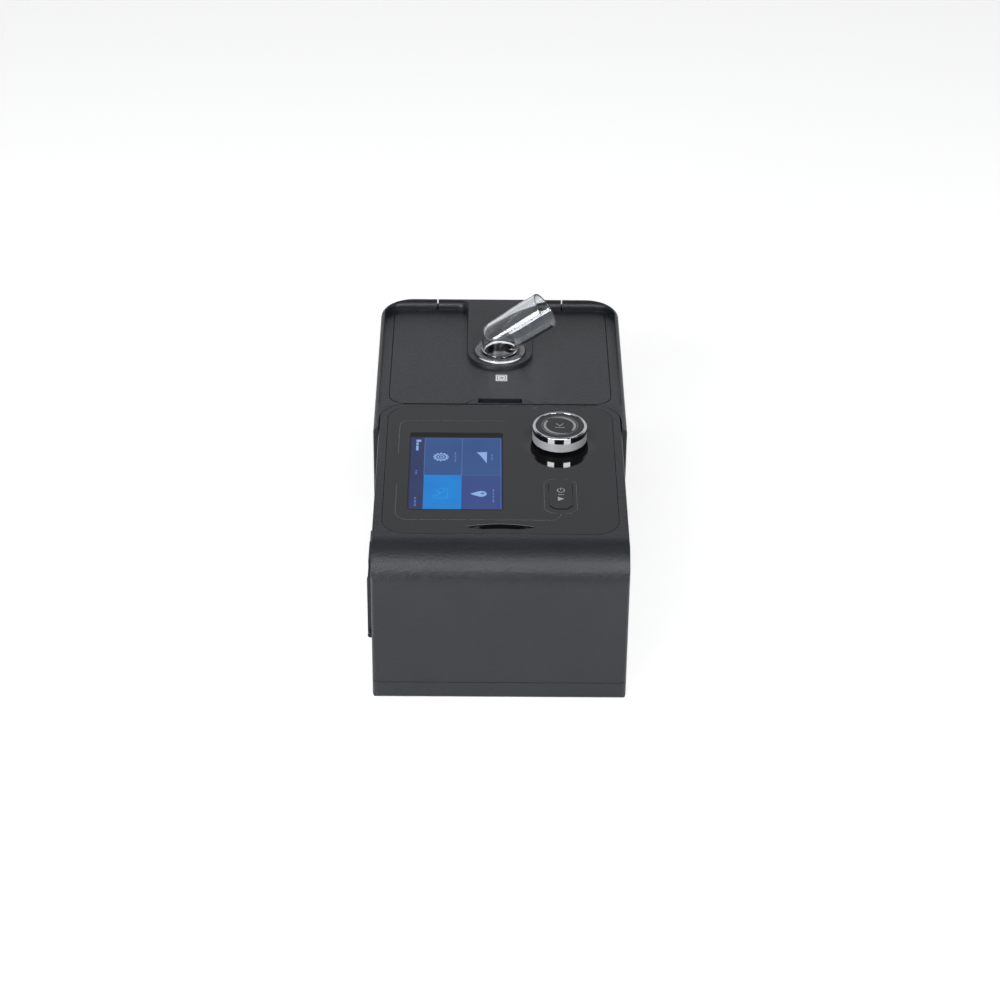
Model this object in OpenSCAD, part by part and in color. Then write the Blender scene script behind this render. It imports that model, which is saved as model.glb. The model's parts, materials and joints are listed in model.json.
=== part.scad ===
// Bench-top breathing-therapy machine: a blower unit docked to a heated humidifier.
// Frame: +X is the user's side, +Y runs from the blower's end face to the humidifier, +Z is up.
// The origin is at the middle of the footprint, on the surface that the feet stand on.

/* [Blower unit] */
// Width of the blower unit
blower_w = 135; // [128:1:145]
// Length of the blower unit, from its end face to the docking seam
blower_len = 157; // [153:1:170]
// Height of the top face over the table
body_h = 90.5; // [89:0.5:100]
// Radius of the edge where the top wraps over the end face
wrap_r = 20.5; // [14:0.5:24]
// Radius of the blower's corners next to the humidifier
dock_r = 17; // [12:0.5:22]
// Radius of the end face's upright edges
end_r = 3; // [1:0.5:6]
// Radius of the long top edges of the blower
top_edge_r = 1.2; // [0.6:0.2:2.4]
// Wall thickness of all casings
wall = 2.4; // [1.8:0.2:3]
// Thickness of the ledge that the control panel rests on
ledge_t = 1.6; // [1.2:0.2:2.4]

/* [Base pans] */
// Height of the seam between casing and base pan
base_h = 11.3; // [9:0.1:14]
// How far the feet stand out below the base pans
foot_h = 1; // [0.6:0.1:2]
// Diameter of a rubber foot
foot_d = 13; // [9:1:16]
// Radius of the lower edge of the base pans
keel_r = 1.6; // [0.8:0.2:3]
// Gap of the seam between casing and base pan
seam_gap = 0.3; // [0.1:0.05:0.5]

/* [Humidifier unit] */
// Length of the humidifier, from the docking seam to its far face
humid_len = 127; // [122:1:140]
// Thickness of the ears that run past the blower's sides
ear_t = 2.9; // [2.4:0.1:4]
// Length of the ears, from the docking seam
ear_len = 26; // [22:1:40]
// Gap between the two docked units
dock_gap = 0.3; // [0.2:0.05:0.6]
// Radius of the humidifier's far corners
humid_r = 19.5; // [14:0.5:24]
// Width of the rim's raised outer edge beside the lid
rim_edge_w = 2.4; // [1.6:0.2:3.2]
// Width of the rim beside the lid
rim_w = 7.7; // [6.6:0.1:9]

/* [Lid] */
// Gap round the lid
lid_gap = 0.35; // [0.2:0.05:0.6]
// Radius of the lid's near corners
lid_r = 9.5; // [6:0.5:14]
// Thickness of the lid's plate
lid_t = 2.6; // [2:0.2:3]
// How far the lid's top has sunk below the rim at its far end
lid_drop = 5; // [3:0.5:5.5]
// Radius of the hinge barrel and of the far rim
barrel_r = 3.5; // [3:0.1:4]
// Length of the hinge barrel on the lid
barrel_len = 73.6; // [60:0.2:90]
// Gap at each end of the hinge barrel
barrel_gap = 0.7; // [0.4:0.1:1]
// Diameter of the hinge pins
pin_d = 2; // [2:0.5:3.5]
// Length of a hinge pin
pin_len = 26; // [20:1:30]
// Half width of the raised duct on the lid
duct_r = 20; // [18:0.5:22]
// How far the duct's wall leans in from foot to top
duct_lean = 1.4; // [0.6:0.2:2.4]

/* [Outlet elbow] */
// Distance from the docking seam to the elbow's swivel axis
elbow_at = 61.2; // [56:0.2:70]
// Outer diameter of the elbow's tube
tube_d = 21; // [20:0.2:21.6]
// Outer diameter of the hose connector at the elbow's end
cone_d = 22; // [22:0.1:22.6]
// Length of the hose connector
cone_len = 15; // [12:1:18]
// Wall thickness of the elbow
tube_wall = 1.3; // [1:0.1:1.8]
// Height of the elbow's bend over the lid's duct
bend_up = 9.3; // [8:0.1:14]
// Length of the elbow's slanted arm, from the bend
arm_len = 31.8; // [28:0.2:40]
// Angle of the slanted arm over the horizontal
arm_rise = 36; // [20:1:50]
// Turn of the elbow about its upright axis as drawn
arm_turn = -3; // [-30:1:30]
// Diameter of the elbow's collar
collar_d = 29.5; // [27:0.5:31]
// Thickness of the elbow's collar
collar_t = 1.5; // [1:0.1:2]

/* [Latch] */
// Width of the latch plate at the lid's edge
latch_w = 38.6; // [34:0.2:44]
// Depth of the latch plate
latch_l = 4.4; // [3.6:0.2:6]
// Width of the finger slot
slot_w = 24.8; // [18:0.2:28]
// Travel of the latch when it is pressed
latch_travel = 1.2; // [0.6:0.1:1.6]

/* [Control panel] */
// Width of the casing's rim on each side of the control panel
panel_side = 5; // [4.5:0.25:7]
// Distance from the end face to the panel's near edge
panel_at = 23; // [21:0.5:26]
// Rim between the panel's far edge and the docking seam
panel_rim = 3.2; // [2.6:0.2:5]
// Radius of the panel's corners
panel_r = 13; // [9:0.5:16]
// Thickness of the panel insert
panel_t = 2; // [1.6:0.1:2.4]
// Gap round the panel insert
panel_gap = 0.25; // [0.15:0.05:0.4]
// Width of the display's picture
screen_w = 49.6; // [46:0.2:52]
// Length of the display's picture
screen_l = 73.6; // [70:0.2:76]
// Distance from the machine's middle plane to the display's middle
screen_x = 24; // [22:0.2:28]
// Distance from the panel's near edge to the picture
screen_at = 23.4; // [20:0.2:28]
// Dark strip beyond the picture, under the same window
bezel = 5.2; // [3:0.2:6]
// Depth of the lens-shaped finger groove
groove_depth = 1.4; // [0.8:0.1:1.5]

/* [Knob] */
// Diameter of the knob
knob_d = 30; // [26:0.5:34]
// Height of the knob over the panel
knob_h = 9.5; // [8:0.1:12]
// Distance from the machine's middle plane to the knob's axis
knob_x = 32.7; // [31:0.1:36]
// Distance from the panel's near edge to the knob's axis
knob_at = 95.6; // [90:0.2:104]
// Diameter of the shallow dish round the knob
dish_d = 45; // [38:1:46]
// Depth of the dish
dish_depth = 1.1; // [0.4:0.1:1.2]
// Diameter of the encoder's shaft
shaft_d = 6; // [5:0.5:6]
// Travel of the knob when it is pushed
push_travel = 0.6; // [0.3:0.1:0.7]

/* [Start key] */
// Width of the key
key_w = 12.5; // [10:0.5:14]
// Length of the key
key_l = 28; // [22:0.5:30]
// Cut of the key's corners
key_cut = 3.2; // [1.5:0.1:4]
// Distance from the machine's middle plane to the key's middle
key_x = 32.2; // [30:0.1:36]
// Distance from the panel's near edge to the key's middle
key_at = 38.5; // [34:0.5:44]
// Travel of the key
key_travel = 0.4; // [0.2:0.1:0.6]

/* [Rear face] */
// Length of the filter cover
cover_l = 54; // [46:1:60]
// Height of the filter cover
cover_h = 36.4; // [30:0.2:40]
// How far the filter cover stands out of the casing
cover_t = 3.1; // [2.4:0.1:3.1]
// Distance from the end face to the filter cover
cover_at = 26; // [24:1:32]
// Height of the filter cover's lower edge over the table
cover_z = 23.6; // [22:0.2:30]
// Distance from the docking seam back to the power inlet and the card slot
ports_at = 47; // [42:1:52]
// Height of the power inlet over the table
inlet_z = 30; // [26:1:34]

/* [Fan] */
// Radius of the impeller
fan_r = 29; // [26:0.5:31]
// Number of impeller blades
blades = 11; // [7:1:15]
// Height of the impeller's blades
blade_h = 13; // [10:0.5:15]
// Smallest inner radius of the volute
scroll_r = 33; // [32.5:0.5:35]
// Growth of the volute's radius over one turn
scroll_grow = 14; // [12:0.5:15]
// Distance from the end face to the fan's axis
fan_at = 68; // [66:1:74]
// Depth of the air duct's axis below the top face
air_drop = 36.5; // [35:0.5:38]

/* [Water tub] */
// Distance from the tub's walls to the casing's inner walls
tub_gap = 14; // [12:0.5:18]
// Radius of the tub's corners
tub_r = 14; // [10:1:18]
// Radius of the tub's corners beside the air port
tub_near_r = 6; // [4:0.5:7]
// Wall thickness of the tub
tub_wall = 2; // [1.6:0.1:2.6]
// Diameter of the heater plate
heater_d = 84; // [70:1:90]

/* [Hidden] */
$fn = 64;
e = 1;
run_gap = 0.05;
fit_gap = 0.3;

y_near = -(blower_len + humid_len) / 2;
y_seam = y_near + blower_len;
y_far = y_near + blower_len + humid_len;
humid_w = blower_w + 2 * (ear_t + dock_gap);
bx = blower_w / 2;
hx = humid_w / 2;

panel_w = blower_w - 2 * panel_side;
panel_x = panel_w / 2;
panel_y0 = y_near + panel_at;
panel_y1 = y_seam - panel_rim;
panel_z = body_h - panel_t;
roof_z = panel_z - ledge_t;
window_in = 4;
window_x0 = -screen_x - screen_w / 2 - fit_gap;
window_x1 = -screen_x + screen_w / 2 + fit_gap;
window_y0 = panel_y0 + screen_at - fit_gap;
window_y1 = panel_y0 + screen_at + screen_l + bezel;
display_t = 4;
display_z = panel_z - fit_gap - display_t;
board_t = 1.6;
board_screw_r = 1.1;
board_z = roof_z - 8.9;
board_top = board_z + board_t;

knob_y = panel_y0 + knob_at;
knob_gap = 0.7;
knob_z0 = body_h + knob_gap;
knob_z1 = body_h + knob_h;
skirt_h = 5.2;
disc_r = knob_d / 2 - 1.7;
key_y = panel_y0 + key_at;
encoder_z = board_top + 6.4;
plunger_z = board_top + 1.8;

cover_y0 = y_near + cover_at;
cover_y1 = cover_y0 + cover_l;
cover_hinge_r = (cover_t - fit_gap) / 2;
cover_hinge_x = -bx - fit_gap - cover_hinge_r;
cover_hinge_z = cover_z + cover_hinge_r;
cover_lug = 2.6;
filter_y0 = cover_y0 + 5;
filter_y1 = cover_y1 - 5;
filter_z0 = cover_z + 6;
filter_z1 = cover_z + cover_h - 5;
filter_t = 6;
port_y = y_seam - ports_at;
card_z = board_z - 2.6;

fan_y = y_near + fan_at;
air_z = body_h - air_drop;
scroll_end = scroll_r + scroll_grow;
outlet_w = 20;
duct_x = -scroll_end + outlet_w / 2;
duct_d = 20;
duct_wall = 1.6;
volute_h = blade_h + 11;
volute_wall = 2;
volute_z0 = air_z - volute_h / 2 - volute_wall;
volute_z1 = air_z + volute_h / 2 + volute_wall;
motor_r = 18;
motor_h = 20;
mount_r = 4;
mount_spots = [[47, 29], [34, -42], [-34, -45]];
pillar_z = 14;

hinge_y = y_far - barrel_r;
hinge_z = body_h - barrel_r;
lid_x = hx - rim_w - lid_gap;
lid_y0 = y_seam + dock_gap + lid_gap;
lid_y1 = hinge_y - barrel_r - 2 * lid_gap;
lid_far_r = 8;
sink_x = hx - rim_edge_w;
sink_y = hinge_y - barrel_r;
sink_r = humid_r - 7;
crest_r = 0.8;
duct_y = y_seam + elbow_at;
front_wall = y_seam + dock_gap + wall;
deck_t = 2;
deck_z = body_h - 14.5;
deck_top = deck_z + deck_t;
flange_t = 1.6;
flange_top = deck_top + flange_t;
seal_t = 0.9;
liner_z = flange_top + fit_gap + seal_t;
liner_t = 1.5;
liner_in = 6;
tub_x = hx - wall - tub_gap;
tub_y0 = front_wall + tub_gap / 2;
tub_y1 = y_far - wall - tub_gap;
floor_z = foot_h + wall;
heater_t = 3;
insulator_t = 2;
heater_z = base_h + insulator_t;
tub_plate_t = 1.4;
tub_z = heater_z + heater_t + fit_gap + tub_plate_t;
seat_d = collar_d + 1.2;
seat_drop = 0.6;
seat_t = 5;
seat_z = body_h - seat_drop - seat_t;
port_len = 16;
bend_z = body_h + bend_up;
elbow_foot = body_h - 6;

boss_r = 4;
boss_h = 26;
screw_r = 1.45;
head_r = 2.9;
head_t = 1.8;
blower_screws = [for (s = [-1, 1], y = [y_near + 18, y_seam - 22]) [s * (bx - wall - 2.6), y]];
humid_screws = [for (s = [-1, 1], y = [front_wall + 12, y_far - humid_r]) [s * (hx - wall - 2.6), y]];
foot_x = bx - 17;
feet_at = [for (s = [-1, 1], y = [y_near + 15, y_seam - 13, y_far - 18]) [s * foot_x, y]];

case_col = [0.26, 0.27, 0.28];
panel_col = [0.12, 0.12, 0.13];
clear_col = [0.8, 0.85, 0.9, 0.4];
chrome_col = [0.85, 0.86, 0.88];
rubber_col = [0.1, 0.1, 0.1];
steel_col = [0.7, 0.71, 0.73];
white_col = [0.92, 0.92, 0.9];

// ---- outlines and directions ----

// The piece outside a round corner; the corner's walls run along +X and +Y from the point.
module corner_cut(x, y, turn, r) {
    translate([x, y]) rotate(turn) difference() {
        translate([-e, -e]) square(r + e);
        translate([r, r]) circle(r);
    }
}

// A rectangle with a radius of its own at each corner, counted from the lower left.
module outline(x0, x1, y0, y1, r = [0, 0, 0, 0]) {
    spots = [[x0, y0, 0], [x1, y0, 90], [x1, y1, 180], [x0, y1, 270]];
    difference() {
        translate([x0, y0]) square([x1 - x0, y1 - y0]);
        for (i = [0:3]) if (r[i] > 0) corner_cut(spots[i][0], spots[i][1], spots[i][2], r[i]);
    }
}

// Extrudes an outline of (Y, Z) along X.
module along_x(x0, x1) translate([x0, 0, 0]) rotate([90, 0, 90]) linear_extrude(x1 - x0) children();

// Extrudes an outline of (X, Z) along Y.
module along_y(y0, y1) translate([0, y1, 0]) rotate([90, 0, 0]) linear_extrude(y1 - y0) children();

// Extrudes an outline of (X, Y) along Z.
module along_z(z0, z1) translate([0, 0, z0]) linear_extrude(z1 - z0) children();

module box(x0, x1, y0, y1, z0, z1) translate([x0, y0, z0]) cube([x1 - x0, y1 - y0, z1 - z0]);

module rod_x(x0, x1, y, z, r) translate([x0, y, z]) rotate([0, 90, 0]) cylinder(h = x1 - x0, r = r);

module rod_y(x, y0, y1, z, r) translate([x, y1, z]) rotate([90, 0, 0]) cylinder(h = y1 - y0, r = r);

module rod_z(x, y, z0, z1, r) translate([x, y, z0]) cylinder(h = z1 - z0, r = r);

// ---- casings ----

module blower_plan(inset = 0) {
    far = max(dock_r - inset, 1);
    near = max(end_r - inset, 0.6);
    outline(-bx + inset, bx - inset, y_near + inset, y_seam - inset, [near, near, far, far]);
}

// The blower's body between two heights, with its wrapped-over near edge.
module blower_body(inset, z0, z1, top_r, keel = 0) {
    bend = wrap_r - inset;
    intersection() {
        along_z(z0, z1) blower_plan(inset);
        along_x(-bx - e, bx + e) outline(y_near + inset, y_seam - inset, z0, z1, [keel, keel, top_r, top_r > 0 ? bend : 0]);
        along_y(y_near - e, y_seam + e) outline(-bx + inset, bx - inset, z0, z1, [keel, keel, top_r, top_r]);
    }
}

// Hollow of the blower case: the near edge keeps the wall's thickness round the bend.
module blower_hollow() {
    intersection() {
        along_z(base_h - e, roof_z) blower_plan(wall);
        along_x(-bx, bx) outline(y_near + wall, y_seam, base_h - 2 * e, roof_z, [0, 0, 0, wrap_r - wall]);
    }
}

module panel_plan(inset) {
    r = panel_r - inset;
    outline(-panel_x + inset, panel_x - inset, panel_y0 + inset, panel_y1 - inset, [r, r, r, r]);
}

module blower_case() color(case_col) {
    difference() {
        union() {
            difference() {
                blower_body(0, base_h, body_h, top_edge_r);
                blower_hollow();
            }
            for (p = blower_screws) rod_z(p[0], p[1], base_h + seam_gap, base_h + boss_h, boss_r);
            for (p = board_spots()) rod_z(p[0], p[1], board_top, roof_z + ledge_t / 2, 3);
        }
        along_z(panel_z, body_h + e) panel_plan(-panel_gap);
        along_z(roof_z - e, body_h) panel_plan(window_in);
        for (p = blower_screws) rod_z(p[0], p[1], base_h - e, base_h + 22, screw_r + run_gap);
        for (p = board_spots()) rod_z(p[0], p[1], board_z, board_top + 5, board_screw_r + 0.02);
        rod_y(duct_x, y_seam - wall - e, y_seam + e, air_z, duct_d / 2 + duct_wall + fit_gap);
        box(-bx - e, -bx + wall + e, filter_y0, filter_y1, filter_z0, filter_z1);
        rod_x(-bx - e, -bx + wall + e, port_y, inlet_z, inlet_r + fit_gap);
        box(-bx - e, -bx + wall + e, port_y - card_w / 2, port_y + card_w / 2, card_z - card_t / 2, card_z + card_t / 2);
    }
    cover_lugs();
}

// The ring inside a seam, which keeps a casing in line with its base pan.
module blower_lip() {
    difference() {
        along_z(floor_z, base_h + 3) blower_plan(wall + fit_gap);
        along_z(floor_z - e, base_h + 3 + e) blower_plan(wall + fit_gap + 1.6);
    }
}

module foot_pocket(p) rod_z(p[0], p[1], foot_h - e, foot_h + 0.8, foot_d / 2 + run_gap);

module screw_pocket(p) {
    rod_z(p[0], p[1], foot_h - e, foot_h + head_t, head_r + 0.2);
    rod_z(p[0], p[1], foot_h, base_h + 2 * e, screw_r + 0.2);
}

module blower_base() color(case_col) difference() {
    union() {
        difference() {
            blower_body(0, foot_h, base_h - seam_gap, 0, keel_r);
            along_z(floor_z, base_h + e) blower_plan(wall);
        }
        difference() {
            blower_lip();
            for (p = blower_screws) rod_z(p[0], p[1], base_h, base_h + 4, boss_r + fit_gap);
        }
        for (p = blower_screws) rod_z(p[0], p[1], foot_h + head_t, base_h, boss_r);
        for (p = mount_spots) rod_z(p[0], fan_y + p[1], floor_z - e, pillar_z, mount_r + 1);
        for (y = [y_near + 30, y_seam - 34]) box(-bx + wall + 2, bx - wall - 2, y, y + 1.6, floor_z - e, floor_z + 4);
    }
    for (p = feet_at) if (p[1] < y_seam) foot_pocket(p);
    for (p = blower_screws) screw_pocket(p);
}

// The humidifier's outline, hollowed where the blower's rounded end docks.
module humid_plan(inset = 0) {
    far = humid_r - inset;
    difference() {
        outline(-hx + inset, hx - inset, y_seam - ear_len + inset, y_far - inset, [0.8, 0.8, far, far]);
        outline(-bx - dock_gap - inset, bx + dock_gap + inset, y_near, y_seam + dock_gap + inset,
            [0, 0, dock_r + dock_gap + inset, dock_r + dock_gap + inset]);
    }
}

module humid_body(z0, z1, top_r, keel = 0) {
    difference() {
        intersection() {
            along_z(z0, z1) humid_plan();
            along_x(-hx - e, hx + e) outline(y_seam - ear_len - e, y_far, z0, z1, [0, keel, top_r, 0]);
            along_y(y_seam - ear_len - e, y_far + e) outline(-hx, hx, z0, z1, [keel, keel, top_r, top_r]);
        }
        if (top_r > 0) for (s = [-1, 1]) mirror([s > 0 ? 0 : 1, 0, 0])
            translate([hx - humid_r, y_far - humid_r, 0]) rotate_extrude(angle = 90) difference() {
                translate([humid_r - top_r, z1 - top_r]) square(top_r + e);
                translate([humid_r - top_r, z1 - top_r]) circle(top_r);
            }
    }
}

// Inside of the humidifier's walls, without the ears.
module well_plan(inset) {
    far = humid_r - inset;
    outline(-hx + inset, hx - inset, front_wall, y_far - inset, [dock_r / 2, dock_r / 2, far, far]);
}

module lid_plan(grow) {
    near = lid_r + grow;
    far = lid_far_r + grow;
    outline(-lid_x - grow, lid_x + grow, lid_y0 - grow, lid_y1 + grow, [near, near, far, far]);
}

module tub_plan(grow) {
    r = tub_r + grow;
    near = tub_near_r + grow;
    outline(-tub_x - grow, tub_x + grow, tub_y0 - grow, tub_y1 + grow, [near, near, r, r]);
}

module humidifier_case() color(case_col) difference() {
    union() {
        difference() {
            humid_body(base_h, body_h, barrel_r);
            along_z(base_h - e, deck_z) well_plan(wall);
        }
        for (p = humid_screws) rod_z(p[0], p[1], base_h + seam_gap, base_h + boss_h, boss_r);
    }
    along_z(deck_z - e, deck_top + e) tub_plan(fit_gap);
    intersection() {
        along_z(deck_top, body_h + e) lid_plan(lid_gap);
        box(-hx, hx, front_wall, y_far, deck_top, body_h + 2 * e);
    }
    // The lid's near edge lies over the front wall.
    along_z(body_h - lid_t - lid_gap, body_h + e) translate([0, -dock_gap - 0.1]) lid_plan(lid_gap);
    sunk_rim();
    for (s = [-1, 1]) rim_bead(s);
    hinge_notch();
    for (s = [-1, 1]) rod_x(min(s * (barrel_len / 2 - e), s * pin_out), max(s * (barrel_len / 2 - e), s * pin_out),
        hinge_y, hinge_z, pin_d / 2 + 0.02);
    for (p = humid_screws) rod_z(p[0], p[1], base_h - e, base_h + 22, screw_r + run_gap);
    rod_y(duct_x, y_seam - e, front_wall + e, air_z, duct_d / 2 + duct_wall + fit_gap);
}

// Everything above the lid's slope, within the rim's crest.
module sunk_rim() intersection() {
    r = sink_r;
    along_z(body_h - lid_drop - 1, body_h + e) outline(-sink_x, sink_x, lid_y0 - e, sink_y, [0, 0, r, r]);
    along_x(-hx, hx) polygon([
        [ramp_y0, body_h], [y_far, ramp(y_far)], [y_far, body_h + 2 * e], [ramp_y0 - 2 * e, body_h + 2 * e], [ramp_y0 - 2 * e, body_h]
    ]);
}

// What is outside a rounded top edge of the given radius, at a distance from the origin.
module edge_round(at, r) difference() {
    translate([at - e, body_h - r]) square(r + e);
    translate([at + r, body_h - r]) circle(r);
}

// Rounds the rim's inner edge: fully beside the hinge, less and less round the corner.
module rim_bead(side) {
    steps = 6;
    lap = 0.05;
    straight = sink_x - sink_r + lap;
    along_x(side > 0 ? 0 : -straight, side > 0 ? straight : 0) edge_round(hinge_y - barrel_r, barrel_r);
    for (i = [0:steps - 1]) translate([side * (sink_x - sink_r), sink_y - sink_r, 0])
        mirror([side > 0 ? 0 : 1, 0, 0]) rotate(90 - 90 * (i + 1) / steps)
        rotate_extrude(angle = 90 / steps + lap) edge_round(sink_r, barrel_r - (barrel_r - crest_r) * (i + 0.5) / steps);
    mirror([side > 0 ? 0 : 1, 0, 0]) along_y(lid_y0, sink_y - sink_r + lap) edge_round(sink_x, crest_r);
}

// Room for the lid's barrel and tongue, open above and behind.
module hinge_notch() {
    half = barrel_len / 2 + barrel_gap;
    rod_x(-half, half, hinge_y, hinge_z, barrel_r + 0.5);
    box(-half, half, hinge_y, y_far + e, hinge_z - barrel_r / 2, body_h + e);
    box(-half, half, lid_y1 - e, hinge_y + e, body_h - lid_drop - lid_t - 1.2, body_h + e);
}

module humidifier_base() color(case_col) difference() {
    union() {
        difference() {
            humid_body(foot_h, base_h - seam_gap, 0, keel_r);
            along_z(floor_z, base_h + e) well_plan(wall);
        }
        difference() {
            along_z(floor_z - e, base_h + 3) well_plan(wall + fit_gap);
            along_z(floor_z - 2 * e, base_h + 3 + e) offset_well();
            for (p = humid_screws) rod_z(p[0], p[1], base_h, base_h + 4, boss_r + fit_gap);
        }
        for (p = humid_screws) rod_z(p[0], p[1], foot_h + head_t, base_h, boss_r);
        difference() {
            rod_z(0, tub_mid_y, floor_z - e, base_h, heater_d / 2 - 4);
            rod_z(0, tub_mid_y, floor_z, base_h + e, heater_d / 2 - 7);
        }
    }
    for (p = feet_at) if (p[1] > y_seam) foot_pocket(p);
    for (p = humid_screws) screw_pocket(p);
}

module offset_well() {
    far = humid_r - wall - 1.9;
    outline(-hx + wall + 1.9, hx - wall - 1.9, front_wall + 1.6, y_far - wall - 1.9,
        [dock_r / 2, dock_r / 2, far, far]);
}

module rubber_feet() color(rubber_col)
    for (p = feet_at) translate([p[0], p[1], 0]) rotate_extrude() polygon([
        [0, 0], [foot_d / 2 - 0.6, 0], [foot_d / 2, 0.6], [foot_d / 2, foot_h + 0.8], [0, foot_h + 0.8]
    ]);

module case_screws() color(steel_col)
    for (p = concat(blower_screws, humid_screws)) {
        difference() {
            rod_z(p[0], p[1], foot_h + 0.2, foot_h + head_t, head_r);
            for (a = [0, 90]) translate([p[0], p[1], foot_h]) rotate(a) cube([3.6, 0.8, 1.6], center = true);
        }
        rod_z(p[0], p[1], foot_h + head_t, base_h + 18, screw_r);
    }

// ---- control panel ----

module chamfered(w, l, cut) {
    polygon([
        [-w / 2 + cut, -l / 2], [w / 2 - cut, -l / 2], [w / 2, -l / 2 + cut], [w / 2, l / 2 - cut],
        [w / 2 - cut, l / 2], [-w / 2 + cut, l / 2], [-w / 2, l / 2 - cut], [-w / 2, -l / 2 + cut]
    ]);
}

groove_half = 18.5;
groove_w = 5.6;
groove_at = 6.4;

// Two arcs that meet in points, as seen from above.
module groove_plan() {
    r = (pow(groove_half, 2) + pow(groove_w / 2, 2)) / groove_w;
    intersection() {
        translate([0, groove_w / 2 - r]) circle(r);
        translate([0, r - groove_w / 2]) circle(r);
    }
}

module control_panel() color(panel_col) {
    dish_r = (pow(dish_d / 2, 2) + pow(dish_depth, 2)) / (2 * dish_depth);
    difference() {
        along_z(panel_z, body_h) panel_plan(0);
        along_z(panel_z - e, body_h + e) outline(window_x0, window_x1, window_y0, window_y1);
        translate([knob_x, knob_y, body_h + dish_r - dish_depth]) sphere(dish_r, $fn = 180);
        rod_z(knob_x, knob_y, panel_z - e, body_h + e, shaft_d / 2 + 2);
        translate([key_x, key_y, panel_z - e]) linear_extrude(panel_t + 2 * e)
            chamfered(key_w + 2 * panel_gap, key_l + 2 * panel_gap, key_cut);
        translate([0, panel_y0 + groove_at, body_h - groove_depth]) linear_extrude(groove_depth + e) groove_plan();
    }
}

module display_window() color([0.05, 0.05, 0.07])
    box(window_x0 + run_gap, window_x1 - run_gap, window_y0 + run_gap, window_y1 - run_gap, panel_z - fit_gap, body_h);

module display_module() color([0.12, 0.3, 0.62]) {
    box(window_x0 - 3, window_x1 + 3, window_y0 - 4, window_y1 + 2, display_z, display_z + display_t - 0.6);
    box(window_x0, window_x1, window_y0, window_y1 - bezel, display_z, display_z + display_t);
}

module display_frame() color(case_col) difference() {
    box(window_x0 - 3, window_x1 + 3, window_y0 - 4, window_y1 + 2, board_top, display_z);
    box(window_x0 - 1, window_x1 + 1, window_y0 - 2, window_y1, board_top - e, display_z + e);
}

function board_spots() = [
    for (s = [-1, 1], y = [panel_y0 + window_in + 6, panel_y1 - window_in - 6])
    [s * (panel_x - window_in + 1.2), y]
];

module control_board() color([0.05, 0.33, 0.2]) difference() {
    r = 4;
    along_z(board_z, board_top)
        outline(-panel_x + 1, panel_x - 1, panel_y0 + 4, panel_y1 - 4, [r, r, r, r]);
    for (p = board_spots()) rod_z(p[0], p[1], board_z - e, board_top + e, board_screw_r + 0.2);
    for (x = [12, 20, 28], y = [16, 22]) rod_z(x, panel_y0 + y, board_z - e, board_top + e, 0.8);
}

module board_screws() color(steel_col)
    for (p = board_spots()) {
        rod_z(p[0], p[1], board_z - 1.3, board_z, 2.2);
        rod_z(p[0], p[1], board_z, board_top + 4.5, board_screw_r);
    }

module board_parts() color([0.1, 0.1, 0.1]) {
    for (p = [[-30, 40, 14, 14], [-30, 66, 9, 12], [-8, 30, 7, 7], [28, 78, 8, 6]])
        box(p[0] - p[2] / 2, p[0] + p[2] / 2, panel_y0 + p[1] - p[3] / 2, panel_y0 + p[1] + p[3] / 2, board_z - 1.5, board_z);
    for (i = [0:2]) rod_z(4 + 10 * i, panel_y1 - 18.8, board_z - 8, board_z, 3.2);
}

module encoder_body() color(steel_col) difference() {
    union() {
        box(knob_x - 6.5, knob_x + 6.5, knob_y - 6.5, knob_y + 6.5, board_top, encoder_z);
        rod_z(knob_x, knob_y, encoder_z - e, panel_z + 0.8, shaft_d / 2 + 1);
    }
    rod_z(knob_x, knob_y, board_top + 0.8, encoder_z - 1.4, shaft_d / 2 + 1.4);
    rod_z(knob_x, knob_y, board_top + 2, body_h + e, shaft_d / 2 + run_gap);
}

module push_plunger() color(white_col)
    rod_z(knob_x, knob_y, plunger_z, plunger_z + 1, shaft_d / 2 + 1);

module encoder_shaft() color(steel_col) difference() {
    rod_z(knob_x, knob_y, plunger_z + 1, knob_z1 - 2.6, shaft_d / 2);
    box(knob_x - shaft_d, knob_x + shaft_d, knob_y + shaft_d / 2 - 0.9, knob_y + shaft_d, body_h + 2.6, knob_z1);
}

module knob_core() color([0.66, 0.67, 0.69]) {
    r = knob_d / 2;
    top = knob_z1 - 1.6;
    difference() {
        translate([knob_x, knob_y, 0]) rotate_extrude() polygon([
            [0, knob_z0 + skirt_h - 1], [r - 2, knob_z0 + skirt_h - 1], [r - 2, knob_z0], [r - 0.4, knob_z0],
            [r, knob_z0 + 0.4], [r, knob_z0 + skirt_h], [r - 1.5, knob_z0 + skirt_h], [r - 1.5, top], [0, top]
        ]);
        rod_z(knob_x, knob_y, knob_z0 - e, knob_z1 - 2.6, shaft_d / 2);
    }
    // The flat that keys the knob to its shaft.
    box(knob_x - shaft_d / 3, knob_x + shaft_d / 3, knob_y + shaft_d / 2 - 0.9, knob_y + shaft_d / 2 + e,
        knob_z0 + skirt_h - 1, top - 0.4);
}

module knob_ring() color(chrome_col) {
    r = knob_d / 2;
    edge = 0.5;
    translate([knob_x, knob_y, 0]) rotate_extrude() difference() {
        union() {
            translate([r - 1.5, knob_z0 + skirt_h]) square([1.5, knob_z1 - edge - knob_z0 - skirt_h]);
            translate([disc_r, knob_z1 - 1.6]) square([r - edge - disc_r, 1.6]);
            translate([r - edge, knob_z1 - edge]) circle(edge);
        }
        translate([0, knob_z0]) square([r - 1.5, knob_z1 - 1.6 - knob_z0]);
        translate([0, knob_z0]) square([disc_r, knob_h + e]);
    }
}

module knob_disc() color(panel_col)
    rod_z(knob_x, knob_y, knob_z1 - 1.6, knob_z1 - 0.3, disc_r - run_gap);

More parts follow.
